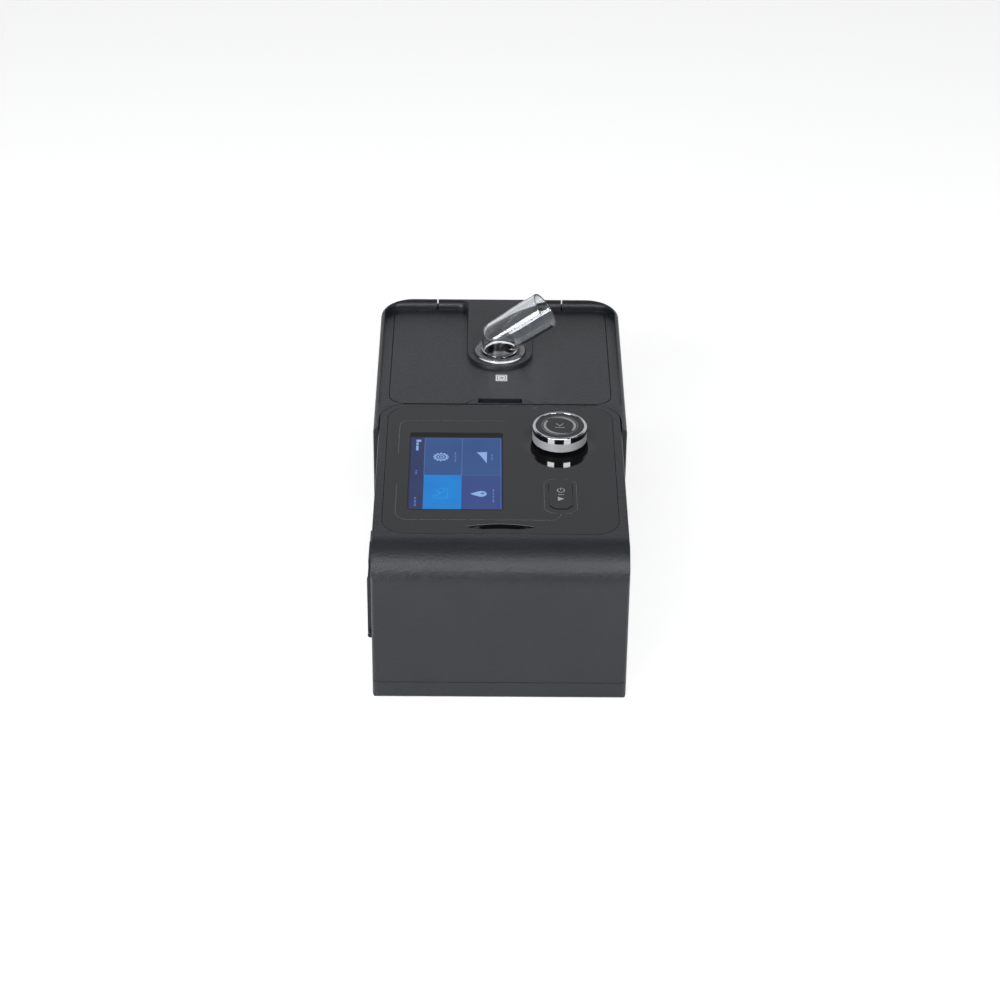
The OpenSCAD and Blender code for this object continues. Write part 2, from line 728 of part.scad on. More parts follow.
module start_key() color(panel_col) {
    translate([key_x, key_y, panel_z - 1.2]) linear_extrude(panel_t + 1.5) chamfered(key_w, key_l, key_cut);
    translate([key_x, key_y, panel_z - 1.8]) linear_extrude(1.2) chamfered(key_w + 2, key_l + 2, key_cut);
    rod_z(key_x, key_y, key_foot, panel_z - 1, 2);
}

key_foot = board_top + 4.3;

module start_switch() color(case_col) {
    box(key_x - 3, key_x + 3, key_y - 3, key_y + 3, board_top, board_top + 3);
    rod_z(key_x, key_y, board_top + 3 - 0.5, key_foot - key_travel - 0.1, 1.7);
}

// ---- rear face ----

inlet_r = 5;
card_w = 26;
card_l = 27;
card_t = 3.2;

module cover_lugs() {
    for (y = [cover_y0 - cover_lug - fit_gap, cover_y1 + fit_gap]) difference() {
        union() {
            rod_y(cover_hinge_x, y, y + cover_lug, cover_hinge_z, cover_hinge_r);
            box(cover_hinge_x, -bx + 0.5, y, y + cover_lug, cover_z, cover_z + 2 * cover_hinge_r);
        }
        rod_y(cover_hinge_x, y - e, y + cover_lug + e, cover_hinge_z, cover_pin_r + 0.02);
    }
}

cover_pin_r = 0.7;

module filter_cover_pin() color(steel_col)
    rod_y(cover_hinge_x, cover_y0 - cover_lug - fit_gap, cover_y1 + cover_lug + fit_gap, cover_hinge_z, cover_pin_r);

module filter_cover() color(case_col) {
    slots = 9;
    pitch = (filter_y1 - filter_y0 - 4) / slots;
    back = -bx - fit_gap;
    tab_y = (cover_y0 + cover_y1) / 2;
    top = cover_z + cover_h;
    difference() {
        union() {
            rod_y(cover_hinge_x, cover_y0, cover_y1, cover_hinge_z, cover_hinge_r);
            along_y(cover_y0, cover_y1)
                outline(-bx - cover_t, back, cover_hinge_z, top, [0, 0, 0.4, 0.6]);
        }
        // Rebate along the top edge, from the near frame to the finger tab and beyond it.
        for (y = [[cover_y0 + 1.6, tab_y - 9], [tab_y + 9, cover_y1 + e]])
            box(-bx - cover_t - e, -bx - cover_t + 1.2, y[0], y[1], top - 5, top + e);
        rod_y(cover_hinge_x, cover_y0 - e, cover_y1 + e, cover_hinge_z, cover_pin_r + run_gap);
        for (i = [0:slots - 1]) {
            y = filter_y0 + 2 + pitch * (i + 0.5);
            box(-bx - cover_t - e, -bx + e, y - 1.2, y + 1.2, filter_z0 + 1, filter_z1 - 2);
        }
    }
}

module filter_frame() color(case_col) difference() {
    x0 = -bx + wall;
    box(x0, x0 + filter_t + 1.5, filter_y0 - 3, filter_y1 + 3, filter_z0 - 3, filter_z1 + 3);
    box(x0 - e, x0 + filter_t, filter_y0 - 1, filter_y1 + 1, filter_z0 - 1, filter_z1 + 1);
    for (y = [filter_y0 + 2:8:filter_y1 - 8]) box(x0, x0 + filter_t + 3, y, y + 6, filter_z0 + 1, filter_z1 - 1);
}

module filter_pad() color([0.85, 0.85, 0.82]) {
    x0 = -bx + wall + 0.2;
    box(x0, x0 + filter_t - 0.4, filter_y0 - 0.8, filter_y1 + 0.8, filter_z0 - 0.8, filter_z1 + 0.8);
}

module power_inlet() color(rubber_col) difference() {
    union() {
        rod_x(-bx + 0.4, -bx + wall + e, port_y, inlet_z, inlet_r);
        box(-bx + wall, -bx + wall + 13, port_y - 6.5, port_y + 6.5, inlet_z - 6, inlet_z + 6);
    }
    difference() {
        rod_x(-bx, -bx + 11, port_y, inlet_z, 3.2);
        rod_x(-bx, -bx + 12, port_y, inlet_z, 1.1);
    }
    rod_x(-bx, -bx + 1.8, port_y, inlet_z, 3.1);
}

module card_socket() color(steel_col) difference() {
    x0 = -bx + wall;
    side = card_w / 2 + 2;
    box(x0, x0 + card_l, port_y - side, port_y + side, card_z - card_t + 0.6, card_z + card_t - 0.6);
    box(x0 - wall, x0 + card_l - 3, port_y - card_w / 2, port_y + card_w / 2, card_z - 1.3, card_z + 1.3);
}

// ---- fan ----

// Volute outline about the fan's axis: the radius grows steadily towards the outlet at -X.
function scroll_points(extra) = concat(
    [for (a = [150:-10:-180]) let (r = scroll_r + extra + scroll_grow * (150 - a) / 330) [r * cos(a), r * sin(a)]],
    [[-scroll_end - extra, scroll_out], [-scroll_end + outlet_w + extra, scroll_out]]
);
scroll_out = 46;

module volute() color(case_col) difference() {
    union() {
        translate([0, fan_y, volute_z0]) linear_extrude(volute_z1 - volute_z0 - volute_wall) polygon(scroll_points(volute_wall));
        for (p = mount_spots) {
            rod_z(p[0], fan_y + p[1], volute_z0, volute_z0 + 2.4, mount_r + 1.5);
            translate([p[0] * 0.8, fan_y + p[1] * 0.8, volute_z0 + 1.2]) rotate(atan2(p[1], p[0])) cube([16, 7, 2.4], center = true);
        }
    }
    translate([0, fan_y, volute_z0 + volute_wall]) linear_extrude(volute_h + e) polygon(scroll_points(0));
    translate([duct_x - outlet_w / 2 + 0.5, fan_y + scroll_out - 8, air_z - duct_d / 2]) cube([outlet_w - 1, 12, duct_d]);
    rod_z(0, fan_y, volute_z0 - e, volute_z0 + 2 * volute_wall, 6);
}

module volute_cover() color(case_col) difference() {
    union() {
        translate([0, fan_y, volute_z1 - volute_wall]) linear_extrude(volute_wall) polygon(scroll_points(volute_wall));
        rod_z(0, fan_y, volute_z1 - volute_wall, volute_z1 + 2.5, 18);
    }
    rod_z(0, fan_y, volute_z1 - 2 * volute_wall, volute_z1 + 4, 15.5);
}

fan_z = volute_z0 + volute_wall + 3;
hub_r = 7;
eye_r = 14;

// One backward-curved blade, from the hub side to the rim.
function blade_side(t) = [
    for (i = [0:7]) let (r = eye_r - 3 + (fan_r - eye_r + 2.4) * i / 7, a = -58 * (i / 7) + t / r * 57.3)
    [r * cos(a), r * sin(a)]
];
function reversed(v) = [for (i = [len(v) - 1:-1:0]) v[i]];

module impeller() color([0.88, 0.88, 0.86]) translate([0, fan_y, fan_z]) difference() {
    union() {
        cylinder(h = 1.5, r = fan_r);
        cylinder(h = blade_h, r = hub_r);
        for (i = [0:blades - 1]) rotate(i * 360 / blades) translate([0, 0, 1])
            linear_extrude(blade_h) polygon(concat(blade_side(0.6), reversed(blade_side(-0.6))));
        translate([0, 0, blade_h + 0.8]) difference() {
            cylinder(h = 1.3, r = fan_r);
            translate([0, 0, -e]) cylinder(h = 4, r = eye_r);
        }
    }
    translate([0, 0, -e]) cylinder(h = blade_h + 4, r = shaft_r);
}

shaft_r = 2;

module motor_shaft() color(steel_col) rod_z(0, fan_y, volute_z0 - motor_h + 2, fan_z + blade_h - 1, shaft_r);

module motor() color([0.5, 0.5, 0.52]) difference() {
    union() {
        rod_z(0, fan_y, volute_z0 - motor_h, volute_z0 - 1.2, motor_r);
        rod_z(0, fan_y, volute_z0 - 1.4, volute_z0, motor_r - 3);
        rod_z(0, fan_y, volute_z0 - 0.4, fan_z - 1, 5.6);
    }
    rod_z(0, fan_y, volute_z0 - motor_h + 1.5, fan_z, shaft_r + run_gap);
}

module fan_mounts() color(rubber_col)
    for (p = mount_spots) translate([p[0], fan_y + p[1], 0]) rotate_extrude() polygon([
        [0, pillar_z], [mount_r, pillar_z], [mount_r, pillar_z + 4], [mount_r - 1.2, pillar_z + 6],
        [mount_r - 1.2, volute_z0 - 5], [mount_r, volute_z0 - 3], [mount_r, volute_z0], [0, volute_z0]
    ]);

duct_y0 = fan_y + scroll_out;
duct_y1 = y_seam - 4;

module air_duct() color([0.2, 0.2, 0.21]) difference() {
    union() {
        rod_y(duct_x, duct_y0, duct_y1, air_z, duct_d / 2 + duct_wall);
        box(duct_x - outlet_w / 2 - volute_wall, duct_x + outlet_w / 2 + volute_wall, duct_y0, duct_y0 + 2.4, volute_z0, volute_z1);
    }
    rod_y(duct_x, duct_y0 - e, duct_y1 + e, air_z, duct_d / 2);
}

module docking_seal() color(rubber_col) {
    r = duct_d / 2;
    difference() {
        union() {
            rod_y(duct_x, duct_y1, tub_y0, air_z, r + duct_wall);
            rod_y(duct_x, front_wall, front_wall + 2, air_z, r + duct_wall + 2);
        }
        rod_y(duct_x, duct_y1 - e, tub_y0 + e, air_z, r);
    }
}

// ---- humidifier ----

ramp_y0 = lid_y0;
ramp_y1 = lid_y1;
// Height of the lid's top surface at a given place along Y.
function ramp(y) = body_h - lid_drop * (y - ramp_y0) / (ramp_y1 - ramp_y0);

// The sloping plate, its far end rising to the hinge barrel.
module ramp_profile(below) {
    polygon([
        [ramp_y0 - e, ramp(ramp_y0 - e) - below], [hinge_y, ramp(hinge_y) - below],
        [hinge_y, ramp(hinge_y)], [ramp_y0, body_h], [ramp_y0 - e, body_h]
    ]);
}

fillet_r = 2.4;
duct_bend = 4.6;

module tongue_profile() {
    intersection() {
        union() {
            translate([ramp_y1 - 3, body_h - lid_drop - lid_t]) square([hinge_y - ramp_y1 + 3, lid_t]);
            difference() {
                translate([hinge_y - barrel_r - 1.4, ramp(hinge_y) - 1]) square([3, fillet_r + 0.6]);
                translate([hinge_y - barrel_r - 1.4, ramp(hinge_y) + fillet_r]) circle(fillet_r - 0.1);
            }
        }
        translate([ramp_y1 - 4, body_h - lid_drop - lid_t]) square([hinge_y - ramp_y1 + 4, lid_drop + lid_t]);
    }
}

// The raised duct: a round end, straight sides and a wall that leans in.
module duct_solid(inset, top) {
    low = body_h - lid_drop - lid_t;
    lean = duct_lean * (top - low) / (body_h - low);
    r = duct_r - inset;
    translate([0, duct_y, low]) cylinder(h = top - low, r1 = r, r2 = r - lean);
    along_y(duct_y, hinge_y) polygon([[-r, low], [r, low], [r - lean, top], [-r + lean, top]]);
}

// The hollow corner between the hinge barrel and the duct.
module duct_corner(side) mirror([side > 0 ? 0 : 1, 0, 0]) difference() {
    far = hinge_y - barrel_r - duct_bend;
    box(duct_r - duct_lean - 1, duct_r + duct_bend, far, hinge_y, ramp(hinge_y), body_h);
    translate([duct_r + duct_bend, far, 0]) rotate_extrude() union() {
        translate([0, body_h - lid_drop - 2]) square([duct_bend, lid_drop + 3]);
        edge_round(duct_bend, barrel_r);
    }
}

module humidifier_lid() color(case_col) difference() {
    union() {
        intersection() {
            along_z(body_h - lid_drop - 2 * lid_t, body_h + e) lid_plan(0);
            along_x(-lid_x - e, lid_x + e) ramp_profile(lid_t);
        }
        along_x(-barrel_len / 2, barrel_len / 2) tongue_profile();
        rod_x(-barrel_len / 2, barrel_len / 2, hinge_y, hinge_z, barrel_r);
        for (s = [-1, 1]) duct_corner(s);
        difference() {
            duct_solid(0, body_h);
            translate([0, 0, -0.01]) duct_solid(wall, body_h - seat_drop - seat_t);
        }
    }
    rod_z(0, duct_y, liner_z, body_h + e, seat_d / 2);
    for (s = [-1, 1]) translate([s * barrel_len / 2, hinge_y, hinge_z]) rotate([0, -s * 90, 0])
        translate([0, 0, -e]) cylinder(h = pin_len / 2 + e, r = pin_d / 2 + run_gap);
    latch_opening();
}

pin_out = barrel_len / 2 + barrel_gap + pin_len / 2;

module hinge_pins() color(steel_col)
    for (s = [-1, 1]) translate([s * pin_out, hinge_y, hinge_z]) rotate([0, -s * 90, 0])
        cylinder(h = pin_len - 0.5, r = pin_d / 2);

latch_lean = 4;
slot_l = 6.2;
latch_y = lid_y0 + latch_l;
cup_x = slot_w / 2 + 2.4;
cup_y = lid_y0 + slot_l + 1.2;

// The latch plate's outline, its slanted sides moved outwards by an even gap.
module latch_plan(grow) {
    slope = latch_lean / latch_l;
    side = grow * sqrt(1 + slope * slope);
    near = latch_w / 2 + side + 2 * grow * slope;
    far = latch_w / 2 - latch_lean + side - grow * slope;
    polygon([[-near, lid_y0 - grow * 2], [near, lid_y0 - grow * 2], [far, latch_y + grow], [-far, latch_y + grow]]);
}

module latch_opening() {
    along_z(body_h - lid_drop - lid_t, body_h + e) latch_plan(fit_gap);
    box(-slot_w / 2, slot_w / 2, lid_y0 - e, lid_y0 + slot_l, body_h - 2 * lid_t, body_h + e);
}

module lid_latch() color(case_col) {
    top = body_h - 0.15;
    foot = liner_z + liner_t + latch_travel + 0.2;
    difference() {
        union() {
            along_z(top - 1.4, top) latch_plan(0);
            along_z(foot, top - 1) outline(-cup_x, cup_x, front_wall + 0.3, latch_y, [0, 0, 0, 0]);
            along_z(foot, ramp(cup_y) - lid_t - 0.2) outline(-cup_x, cup_x, front_wall + 0.3, cup_y, [0, 0, 0, 0]);
        }
        box(-slot_w / 2, slot_w / 2, lid_y0 + 0.9, cup_y - 1.2, foot + 1.2, body_h + e);
    }
}

module liner_plan(inset) {
    r = lid_r;
    x = lid_x - liner_in - inset;
    outline(-x, x, front_wall + 1 + inset, lid_y1 - 3.5 - inset, [r, r, r, r]);
}

// A shallow tray under the lid, its rim cut to the lid's slope.
module lid_liner() color([0.75, 0.76, 0.78]) {
    difference() {
        intersection() {
            union() {
                difference() {
                    along_z(liner_z, body_h) liner_plan(0);
                    along_z(liner_z + liner_t, body_h + e) liner_plan(2);
                }
                rod_z(0, duct_y, liner_z, seat_z, tube_d / 2 + 3);
            }
            along_x(-lid_x, lid_x) polygon([
                [ramp_y0 - e, liner_z - e], [hinge_y, liner_z - e],
                [hinge_y, ramp(hinge_y) - lid_t], [ramp_y0 - e, ramp(ramp_y0 - e) - lid_t]
            ]);
        }
        rod_z(0, duct_y, liner_z - e, body_h, tube_d / 2 - tube_wall);
        rod_z(0, duct_y, elbow_foot - fit_gap, body_h, tube_d / 2 + fit_gap);
        box(-latch_w / 2 - 1, latch_w / 2 + 1, lid_y0 - e, cup_y + 0.3, liner_z + liner_t, body_h);
    }
}

module lid_seal() color([0.55, 0.57, 0.6]) difference() {
    along_z(liner_z - seal_t, liner_z) tub_plan(2.6);
    along_z(liner_z - seal_t - e, liner_z + e) tub_plan(-1.2);
}

module elbow_seat() color(rubber_col) translate([0, duct_y, 0]) rotate_extrude() {
    top = body_h - seat_drop;
    r = tube_d / 2 + run_gap;
    polygon([
        [r, top - seat_t], [seat_d / 2 - 0.02, top - seat_t], [seat_d / 2 - 0.02, top + seat_drop - 0.1],
        [seat_d / 2 - 0.5, top + seat_drop - 0.1], [seat_d / 2 - 0.5, top], [r, top]
    ]);
}

// Everything on the lower or the upper side of the elbow's mitre plane.
module mitre_side(upper) {
    tilt = (90 - arm_rise) / 2;
    big = 120;
    translate([0, 0, bend_z]) rotate([0, tilt, 0]) translate([0, 0, upper ? big / 2 : -big / 2]) cube(big, center = true);
}

mitre_step = 0.05;

module elbow_solid(r, r_end, foot, end) {
    taper = arm_len - cone_len;
    intersection() {
        translate([0, 0, foot]) cylinder(h = bend_z + 2 * r - foot, r = r);
        mitre_side(false);
    }
    intersection() {
        translate([0, 0, bend_z]) rotate([0, 90 - arm_rise, 0]) {
            translate([0, 0, -2 * r]) cylinder(h = 2 * r + 7, r = r + mitre_step);
            translate([0, 0, 7]) cylinder(h = taper - 7, r1 = r + mitre_step, r2 = r_end);
            translate([0, 0, taper]) cylinder(h = cone_len + end, r = r_end);
        }
        mitre_side(true);
    }
}

module outlet_elbow() color(clear_col) translate([0, duct_y, 0]) rotate(arm_turn) difference() {
    union() {
        elbow_solid(tube_d / 2, cone_d / 2, elbow_foot, 0);
        translate([0, 0, body_h - seat_drop + 0.2]) rotate_extrude() polygon([
            [tube_d / 2 - 0.6, 0], [collar_d / 2 - 0.3, 0], [collar_d / 2, 0.3], [collar_d / 2, collar_t - 0.4],
            [collar_d / 2 - 0.4, collar_t], [tube_d / 2 + 1.6, collar_t], [tube_d / 2, collar_t + 1.6],
            [tube_d / 2 - 0.6, collar_t + 1.6]
        ]);
    }
    elbow_solid(tube_d / 2 - tube_wall, cone_d / 2 - tube_wall, elbow_foot - e, e);
}

tub_mid_y = (tub_y0 + tub_y1) / 2;

module water_tub() color(clear_col) difference() {
    union() {
        along_z(tub_z, flange_top) tub_plan(0);
        along_z(deck_top, flange_top) tub_plan(3.4);
    }
    along_z(tub_z + tub_wall, flange_top + e) tub_plan(-tub_wall);
    rod_y(duct_x, tub_y0 - e, tub_y0 + tub_wall + e, air_z, duct_d / 2);
}

module tub_plate() color(steel_col) rod_z(0, tub_mid_y, tub_z - tub_plate_t, tub_z, heater_d / 2 - 1);

module heater_plate() color([0.75, 0.75, 0.77]) rod_z(0, tub_mid_y, heater_z, heater_z + heater_t, heater_d / 2);

module heater_insulator() color(white_col) rod_z(0, tub_mid_y, base_h, heater_z, heater_d / 2 - 2);

blower_case();
blower_base();
humidifier_case();
humidifier_base();
rubber_feet();
case_screws();
control_panel();
display_window();
display_module();
display_frame();
control_board();
board_screws();
board_parts();
encoder_body();
start_switch();
push_plunger();
encoder_shaft();
knob_core();
knob_ring();
knob_disc();
start_key();
filter_cover();
filter_cover_pin();
filter_pad();
filter_frame();
power_inlet();
card_socket();
volute();
volute_cover();
impeller();
motor_shaft();
motor();
fan_mounts();
air_duct();
docking_seal();
humidifier_lid();
lid_liner();
lid_seal();
lid_latch();
hinge_pins();
elbow_seat();
outlet_elbow();
water_tub();
tub_plate();
heater_plate();
heater_insulator();
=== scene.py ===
"""Breathing-therapy machine with humidifier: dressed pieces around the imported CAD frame."""

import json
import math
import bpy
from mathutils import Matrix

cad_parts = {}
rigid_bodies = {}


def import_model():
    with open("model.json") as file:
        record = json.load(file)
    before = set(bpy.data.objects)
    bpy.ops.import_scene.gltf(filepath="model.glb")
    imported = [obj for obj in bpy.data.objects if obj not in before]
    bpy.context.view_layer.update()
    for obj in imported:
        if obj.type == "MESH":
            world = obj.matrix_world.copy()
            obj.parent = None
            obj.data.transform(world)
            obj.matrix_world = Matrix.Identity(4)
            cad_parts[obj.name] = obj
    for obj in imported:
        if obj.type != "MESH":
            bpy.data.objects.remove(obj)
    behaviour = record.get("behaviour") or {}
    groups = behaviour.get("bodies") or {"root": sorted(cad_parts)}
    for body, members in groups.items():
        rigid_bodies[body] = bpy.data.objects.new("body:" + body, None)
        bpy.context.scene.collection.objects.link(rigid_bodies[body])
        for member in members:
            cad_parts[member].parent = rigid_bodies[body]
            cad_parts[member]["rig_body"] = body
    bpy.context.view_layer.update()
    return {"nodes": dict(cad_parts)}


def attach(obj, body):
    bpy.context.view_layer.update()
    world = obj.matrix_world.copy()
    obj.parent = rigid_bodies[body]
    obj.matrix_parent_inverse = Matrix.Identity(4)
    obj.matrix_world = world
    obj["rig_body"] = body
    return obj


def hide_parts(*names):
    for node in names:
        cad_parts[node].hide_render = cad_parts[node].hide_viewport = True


bl_info = {
    "name": "Breathing machine dressing",
    "version": (1, 0, 0),
    "blender": (4, 5, 0),
    "location": "View3D > Sidebar > Machine",
    "description": "Casings, panel, screen, knob, clear elbow and studio for a bench-top breathing machine",
    "category": "Object",
}

import bmesh
import bpy
from mathutils import Matrix, Vector

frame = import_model()
MM = 0.001

# Levels and places that the source gives its pieces, in millimetres.
TOP = 90.5
KNOB = (32.7, -23.4)
KNOB_TOP = 100.0
KEY_X = 32.35
KEY_TOP = 90.8
ELBOW_Y = 76.2
BEND_Z = 99.8
LID_NEAR, LID_FAR, LID_FALL = 15.65, 134.3, 5.0
GROOVE_RADIUS, GROOVE_CENTRE_Y = 62.5, -172.3

# Thickness of a printed or lit layer, in millimetres.
LAYER = 0.02

# Steps round a turned piece.
SIDES = 96

# Most values of a noise lie between these two.
NOISE_LOW, NOISE_HIGH = 0.3, 0.7

# Faces that meet at less than this, in radians, belong to one flat region.
FLAT = 0.006


# ---- colours and shader parts ----


def rgb(code, alpha=1.0):
    """A colour written as in a paint program, for a shader's socket."""
    parts = [int(code[i : i + 2], 16) / 255 for i in (0, 2, 4)]
    linear = [c / 12.92 if c <= 0.04045 else ((c + 0.055) / 1.055) ** 2.4 for c in parts]
    return (*linear, alpha)


def add(tree, kind, inputs=None, **settings):
    """Adds a node with its settings. Each input gets a value, or the socket that feeds it."""
    made = tree.nodes.new(kind)
    for label, value in settings.items():
        setattr(made, label, value)
    for label, value in (inputs or {}).items():
        if isinstance(value, bpy.types.NodeSocket):
            tree.links.new(value, made.inputs[label])
        else:
            made.inputs[label].default_value = value
    return made


class Finish:
    """One material on object coordinates, with the patterns that several finishes share."""

    def __init__(self, name, base, roughness, **sockets):
        self.material = bpy.data.materials.new(name)
        self.material.use_nodes = True
        self.tree = self.material.node_tree
        self.shader = next(n for n in self.tree.nodes if n.type == "BSDF_PRINCIPLED")
        for label, value in {"Base Color": base, "Roughness": roughness, **sockets}.items():
            self.shader.inputs[label.replace("_", " ")].default_value = value
        self.place = add(self.tree, "ShaderNodeTexCoord").outputs["Object"]

    def stretched(self, scale):
        """Scales the coordinates along each axis, for the patterns that are added after it."""
        mapping = add(self.tree, "ShaderNodeMapping", {"Vector": self.place, "Scale": scale})
        self.place = mapping.outputs["Vector"]
        return self

    def feed(self, label, socket):
        """Links a socket to one of the shader's inputs."""
        self.tree.links.new(socket, self.shader.inputs[label])

    def wander(self, per_metre, detail, low, high):
        """A value that wanders between two others over the surface."""
        noise = {"Vector": self.place, "Scale": per_metre, "Detail": detail}
        spread = {
            "Value": add(self.tree, "ShaderNodeTexNoise", noise).outputs["Fac"],
            "From Min": NOISE_LOW, "From Max": NOISE_HIGH, "To Min": low, "To Max": high,
        }
        return add(self.tree, "ShaderNodeMapRange", spread).outputs["Result"]

    def tint(self, per_metre, detail, low, high, label="Base Color"):
        """A colour that wanders between two others."""
        parts = {"Factor": self.wander(per_metre, detail, 0.0, 1.0), "A": low, "B": high}
        colour = add(self.tree, "ShaderNodeMix", parts, data_type="RGBA").outputs["Result"]
        self.feed(label, colour)
        return colour

    def relief(self, per_metre, detail, strength, distance, rough=0.5, under=None):
        """A skin that is raised and sunk, on top of what bends its normal already."""
        noise = {"Vector": self.place, "Scale": per_metre, "Detail": detail, "Roughness": rough}
        height = add(self.tree, "ShaderNodeTexNoise", noise).outputs["Fac"]
        inputs = {"Height": height, "Strength": strength, "Distance": distance}
        if under:
            inputs["Normal"] = under
        self.feed("Normal", add(self.tree, "ShaderNodeBump", inputs).outputs["Normal"])


def eroded_plastic(name, low, high, roughness, grain):
    """Moulded ABS with the spark-eroded grain of an appliance casing.

    The grain breaks up the light on the round edges, and the tone wanders a little. The real grain of
    about 0.1 mm is too fine to show, so it is drawn about 1.2 mm wide.
    """
    skin = Finish(name, low, roughness, IOR=1.5)
    edges = add(skin.tree, "ShaderNodeBevel", {"Radius": 0.25 * MM}, samples=4).outputs["Normal"]
    skin.relief(800, 3.0, grain, 0.3 * MM, 0.7, edges)
    skin.tint(28, 3.0, low, high)
    skin.feed("Roughness", skin.wander(900, 2.0, roughness - 0.05, roughness + 0.06))
    return skin.material


def polished_plastic(name, low, high, roughness):
    """Polished ABS: a dark mirror, a little duller where it has been wiped."""
    skin = Finish(name, low, roughness, IOR=1.5)
    skin.tint(40, 2.0, low, high)
    skin.feed("Roughness", skin.wander(60, 3.0, roughness, roughness + 0.03))
    return skin.material


def turned_metal(name, base, roughness, stretch=(60, 60, 2600), depth=0.06):
    """Turned, rolled or plated metal: marks along its way of machining stretch each highlight.

    The marks of some hundredths of a millimetre are drawn about 0.4 mm apart, so that they show.
    """
    skin = Finish(name, base, roughness, Metallic=1.0).stretched(stretch)
    if depth:
        skin.relief(1.0, 3.0, depth, 0.05 * MM)
    skin.feed("Roughness", skin.wander(1.0, 3.0, roughness * 0.8, roughness * 1.25))
    return skin.material


def blasted_metal(name, low, high, painted_dark_reflection):
    """Bead-blasted aluminium: an even, dull sheen. For mirrored rays its colour turns near black, a painted
    dark reflection of it in the polished panel under it.
    """
    skin = Finish(name, low, 0.5, Metallic=0.45)
    # Near black for glossy rays only: the painted dark reflection, not the metal's own colour.
    glossy_ray = add(skin.tree, "ShaderNodeLightPath").outputs["Is Glossy Ray"]
    parts = {"Factor": glossy_ray, "A": skin.tint(300, 2.0, low, high), "B": painted_dark_reflection}
    skin.feed("Base Color", add(skin.tree, "ShaderNodeMix", parts, data_type="RGBA").outputs["Result"])
    return skin.material


def silicone(name, low, high):
    """Moulded silicone rubber: dull and soft, with a dusty unevenness."""
    skin = Finish(name, low, 0.6, IOR=1.42)
    skin.relief(900, 2.0, 0.15, 0.08 * MM)
    skin.tint(120, 2.0, low, high)
    return skin.material


def clear_plastic(name, tint):
    """Moulded polycarbonate: clear, with sharp light lines along its walls and rims."""
    return Finish(name, tint, 0.015, IOR=1.55, Transmission_Weight=1.0).material


def pressed_felt(name, low, high):
    """Pressed polyester felt: dull and fleecy, with its fibres drawn coarse enough to show."""
    skin = Finish(name, low, 0.95)
    skin.tint(500, 3.0, low, high)
    skin.stretched((1, 1, 3)).relief(1100, 4.0, 0.6, 0.5 * MM)
    return skin.material


def ink(name, colour, roughness=0.35):
    """Screen-printed ink, with the slight unevenness of its mesh."""
    skin = Finish(name, colour, roughness)
    skin.relief(2500, 1.0, 0.1, LAYER * MM)
    return skin.material


def lit_cell(name, low, high, glow):
    """A lit area of the display: its own light under a coated window that mirrors little."""
    skin = Finish(name, rgb("040406"), 0.07, IOR=1.3, Emission_Strength=glow)
    skin.tint(45, 2.0, low, high, "Emission Color")
    return skin.material


# ---- mesh parts ----


def joined(name, mesh, material, body):
    """Puts a mesh in the scene as a piece of a CAD body."""
    made = bpy.data.objects.new(name, mesh)
    bpy.context.scene.collection.objects.link(made)
    mesh.materials.clear()
    mesh.materials.append(material)
    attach(made, body)
    return made


def flat_sizes(shape):
    """The size of the flat region that each face is a part of."""
    sizes = {}
    for face in shape.faces:
        if face in sizes:
            continue
        region, at = [face], 0
        sizes[face] = 0.0
        while at < len(region):
            for edge in region[at].edges:
                if len(edge.link_faces) == 2 and edge.calc_face_angle() < FLAT:
                    for other in edge.link_faces:
                        if other not in sizes:
                            sizes[other] = 0.0
                            region.append(other)
            at += 1
        whole = sum(f.calc_area() for f in region)
        sizes.update((f, whole) for f in region)
    return sizes


def shaded(made, angle):
    """Smooth shading that keeps flat regions flat and edges over the angle sharp.

    A corner's normal is the mean of the faces round it that no sharp edge parts from it. Each counts by
    its angle there and by the square of its flat region's size, so that a flat region wins.
    """
    mesh = made.data
    shape = bmesh.new()
    shape.from_mesh(mesh)
    limit = math.radians(angle)
    sizes = flat_sizes(shape)
    normals = [Vector((0, 0, 1))] * len(mesh.loops)
    for vert in shape.verts:
        left = {loop.face: loop for loop in vert.link_loops}
        while left:
            _, loop = left.popitem()
            fan, at = [loop], 0
            while at < len(fan):
                for edge in (fan[at].edge, fan[at].link_loop_prev.edge):
                    if len(edge.link_faces) == 2 and edge.calc_face_angle() < limit:
                        fan += [left.pop(other) for other in edge.link_faces if other in left]
                at += 1
            mean = Vector()
            for loop in fan:
                mean += loop.face.normal * loop.calc_angle() * (sizes[loop.face] / MM**2) ** 2
            for loop in fan:
                flat = mean.length <= 1e-12
                normals[loop.index] = loop.face.normal.copy() if flat else mean.normalized()
    shape.free()
    old = mesh.attributes.get("custom_normal")
    if old:
        mesh.attributes.remove(old)
    mesh.polygons.foreach_set("use_smooth", [True] * len(mesh.polygons))
    mesh.set_sharp_from_angle(angle=limit)
    mesh.normals_split_custom_set(normals)
    return made


def casing(node, material, angle=32):
    """Stands for a CAD node with its own shape, welded and smoothly shaded."""
    source = frame["nodes"][node]
    shape = bmesh.new()
    shape.from_mesh(source.data)
    bmesh.ops.remove_doubles(shape, verts=shape.verts, dist=1e-6)
    mesh = bpy.data.meshes.new("dressed_" + node)
    shape.to_mesh(mesh)
    shape.free()
    made = joined("dressed_" + node, mesh, material, source["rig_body"])
    shaded(made, angle)
    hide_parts(node)
    return made


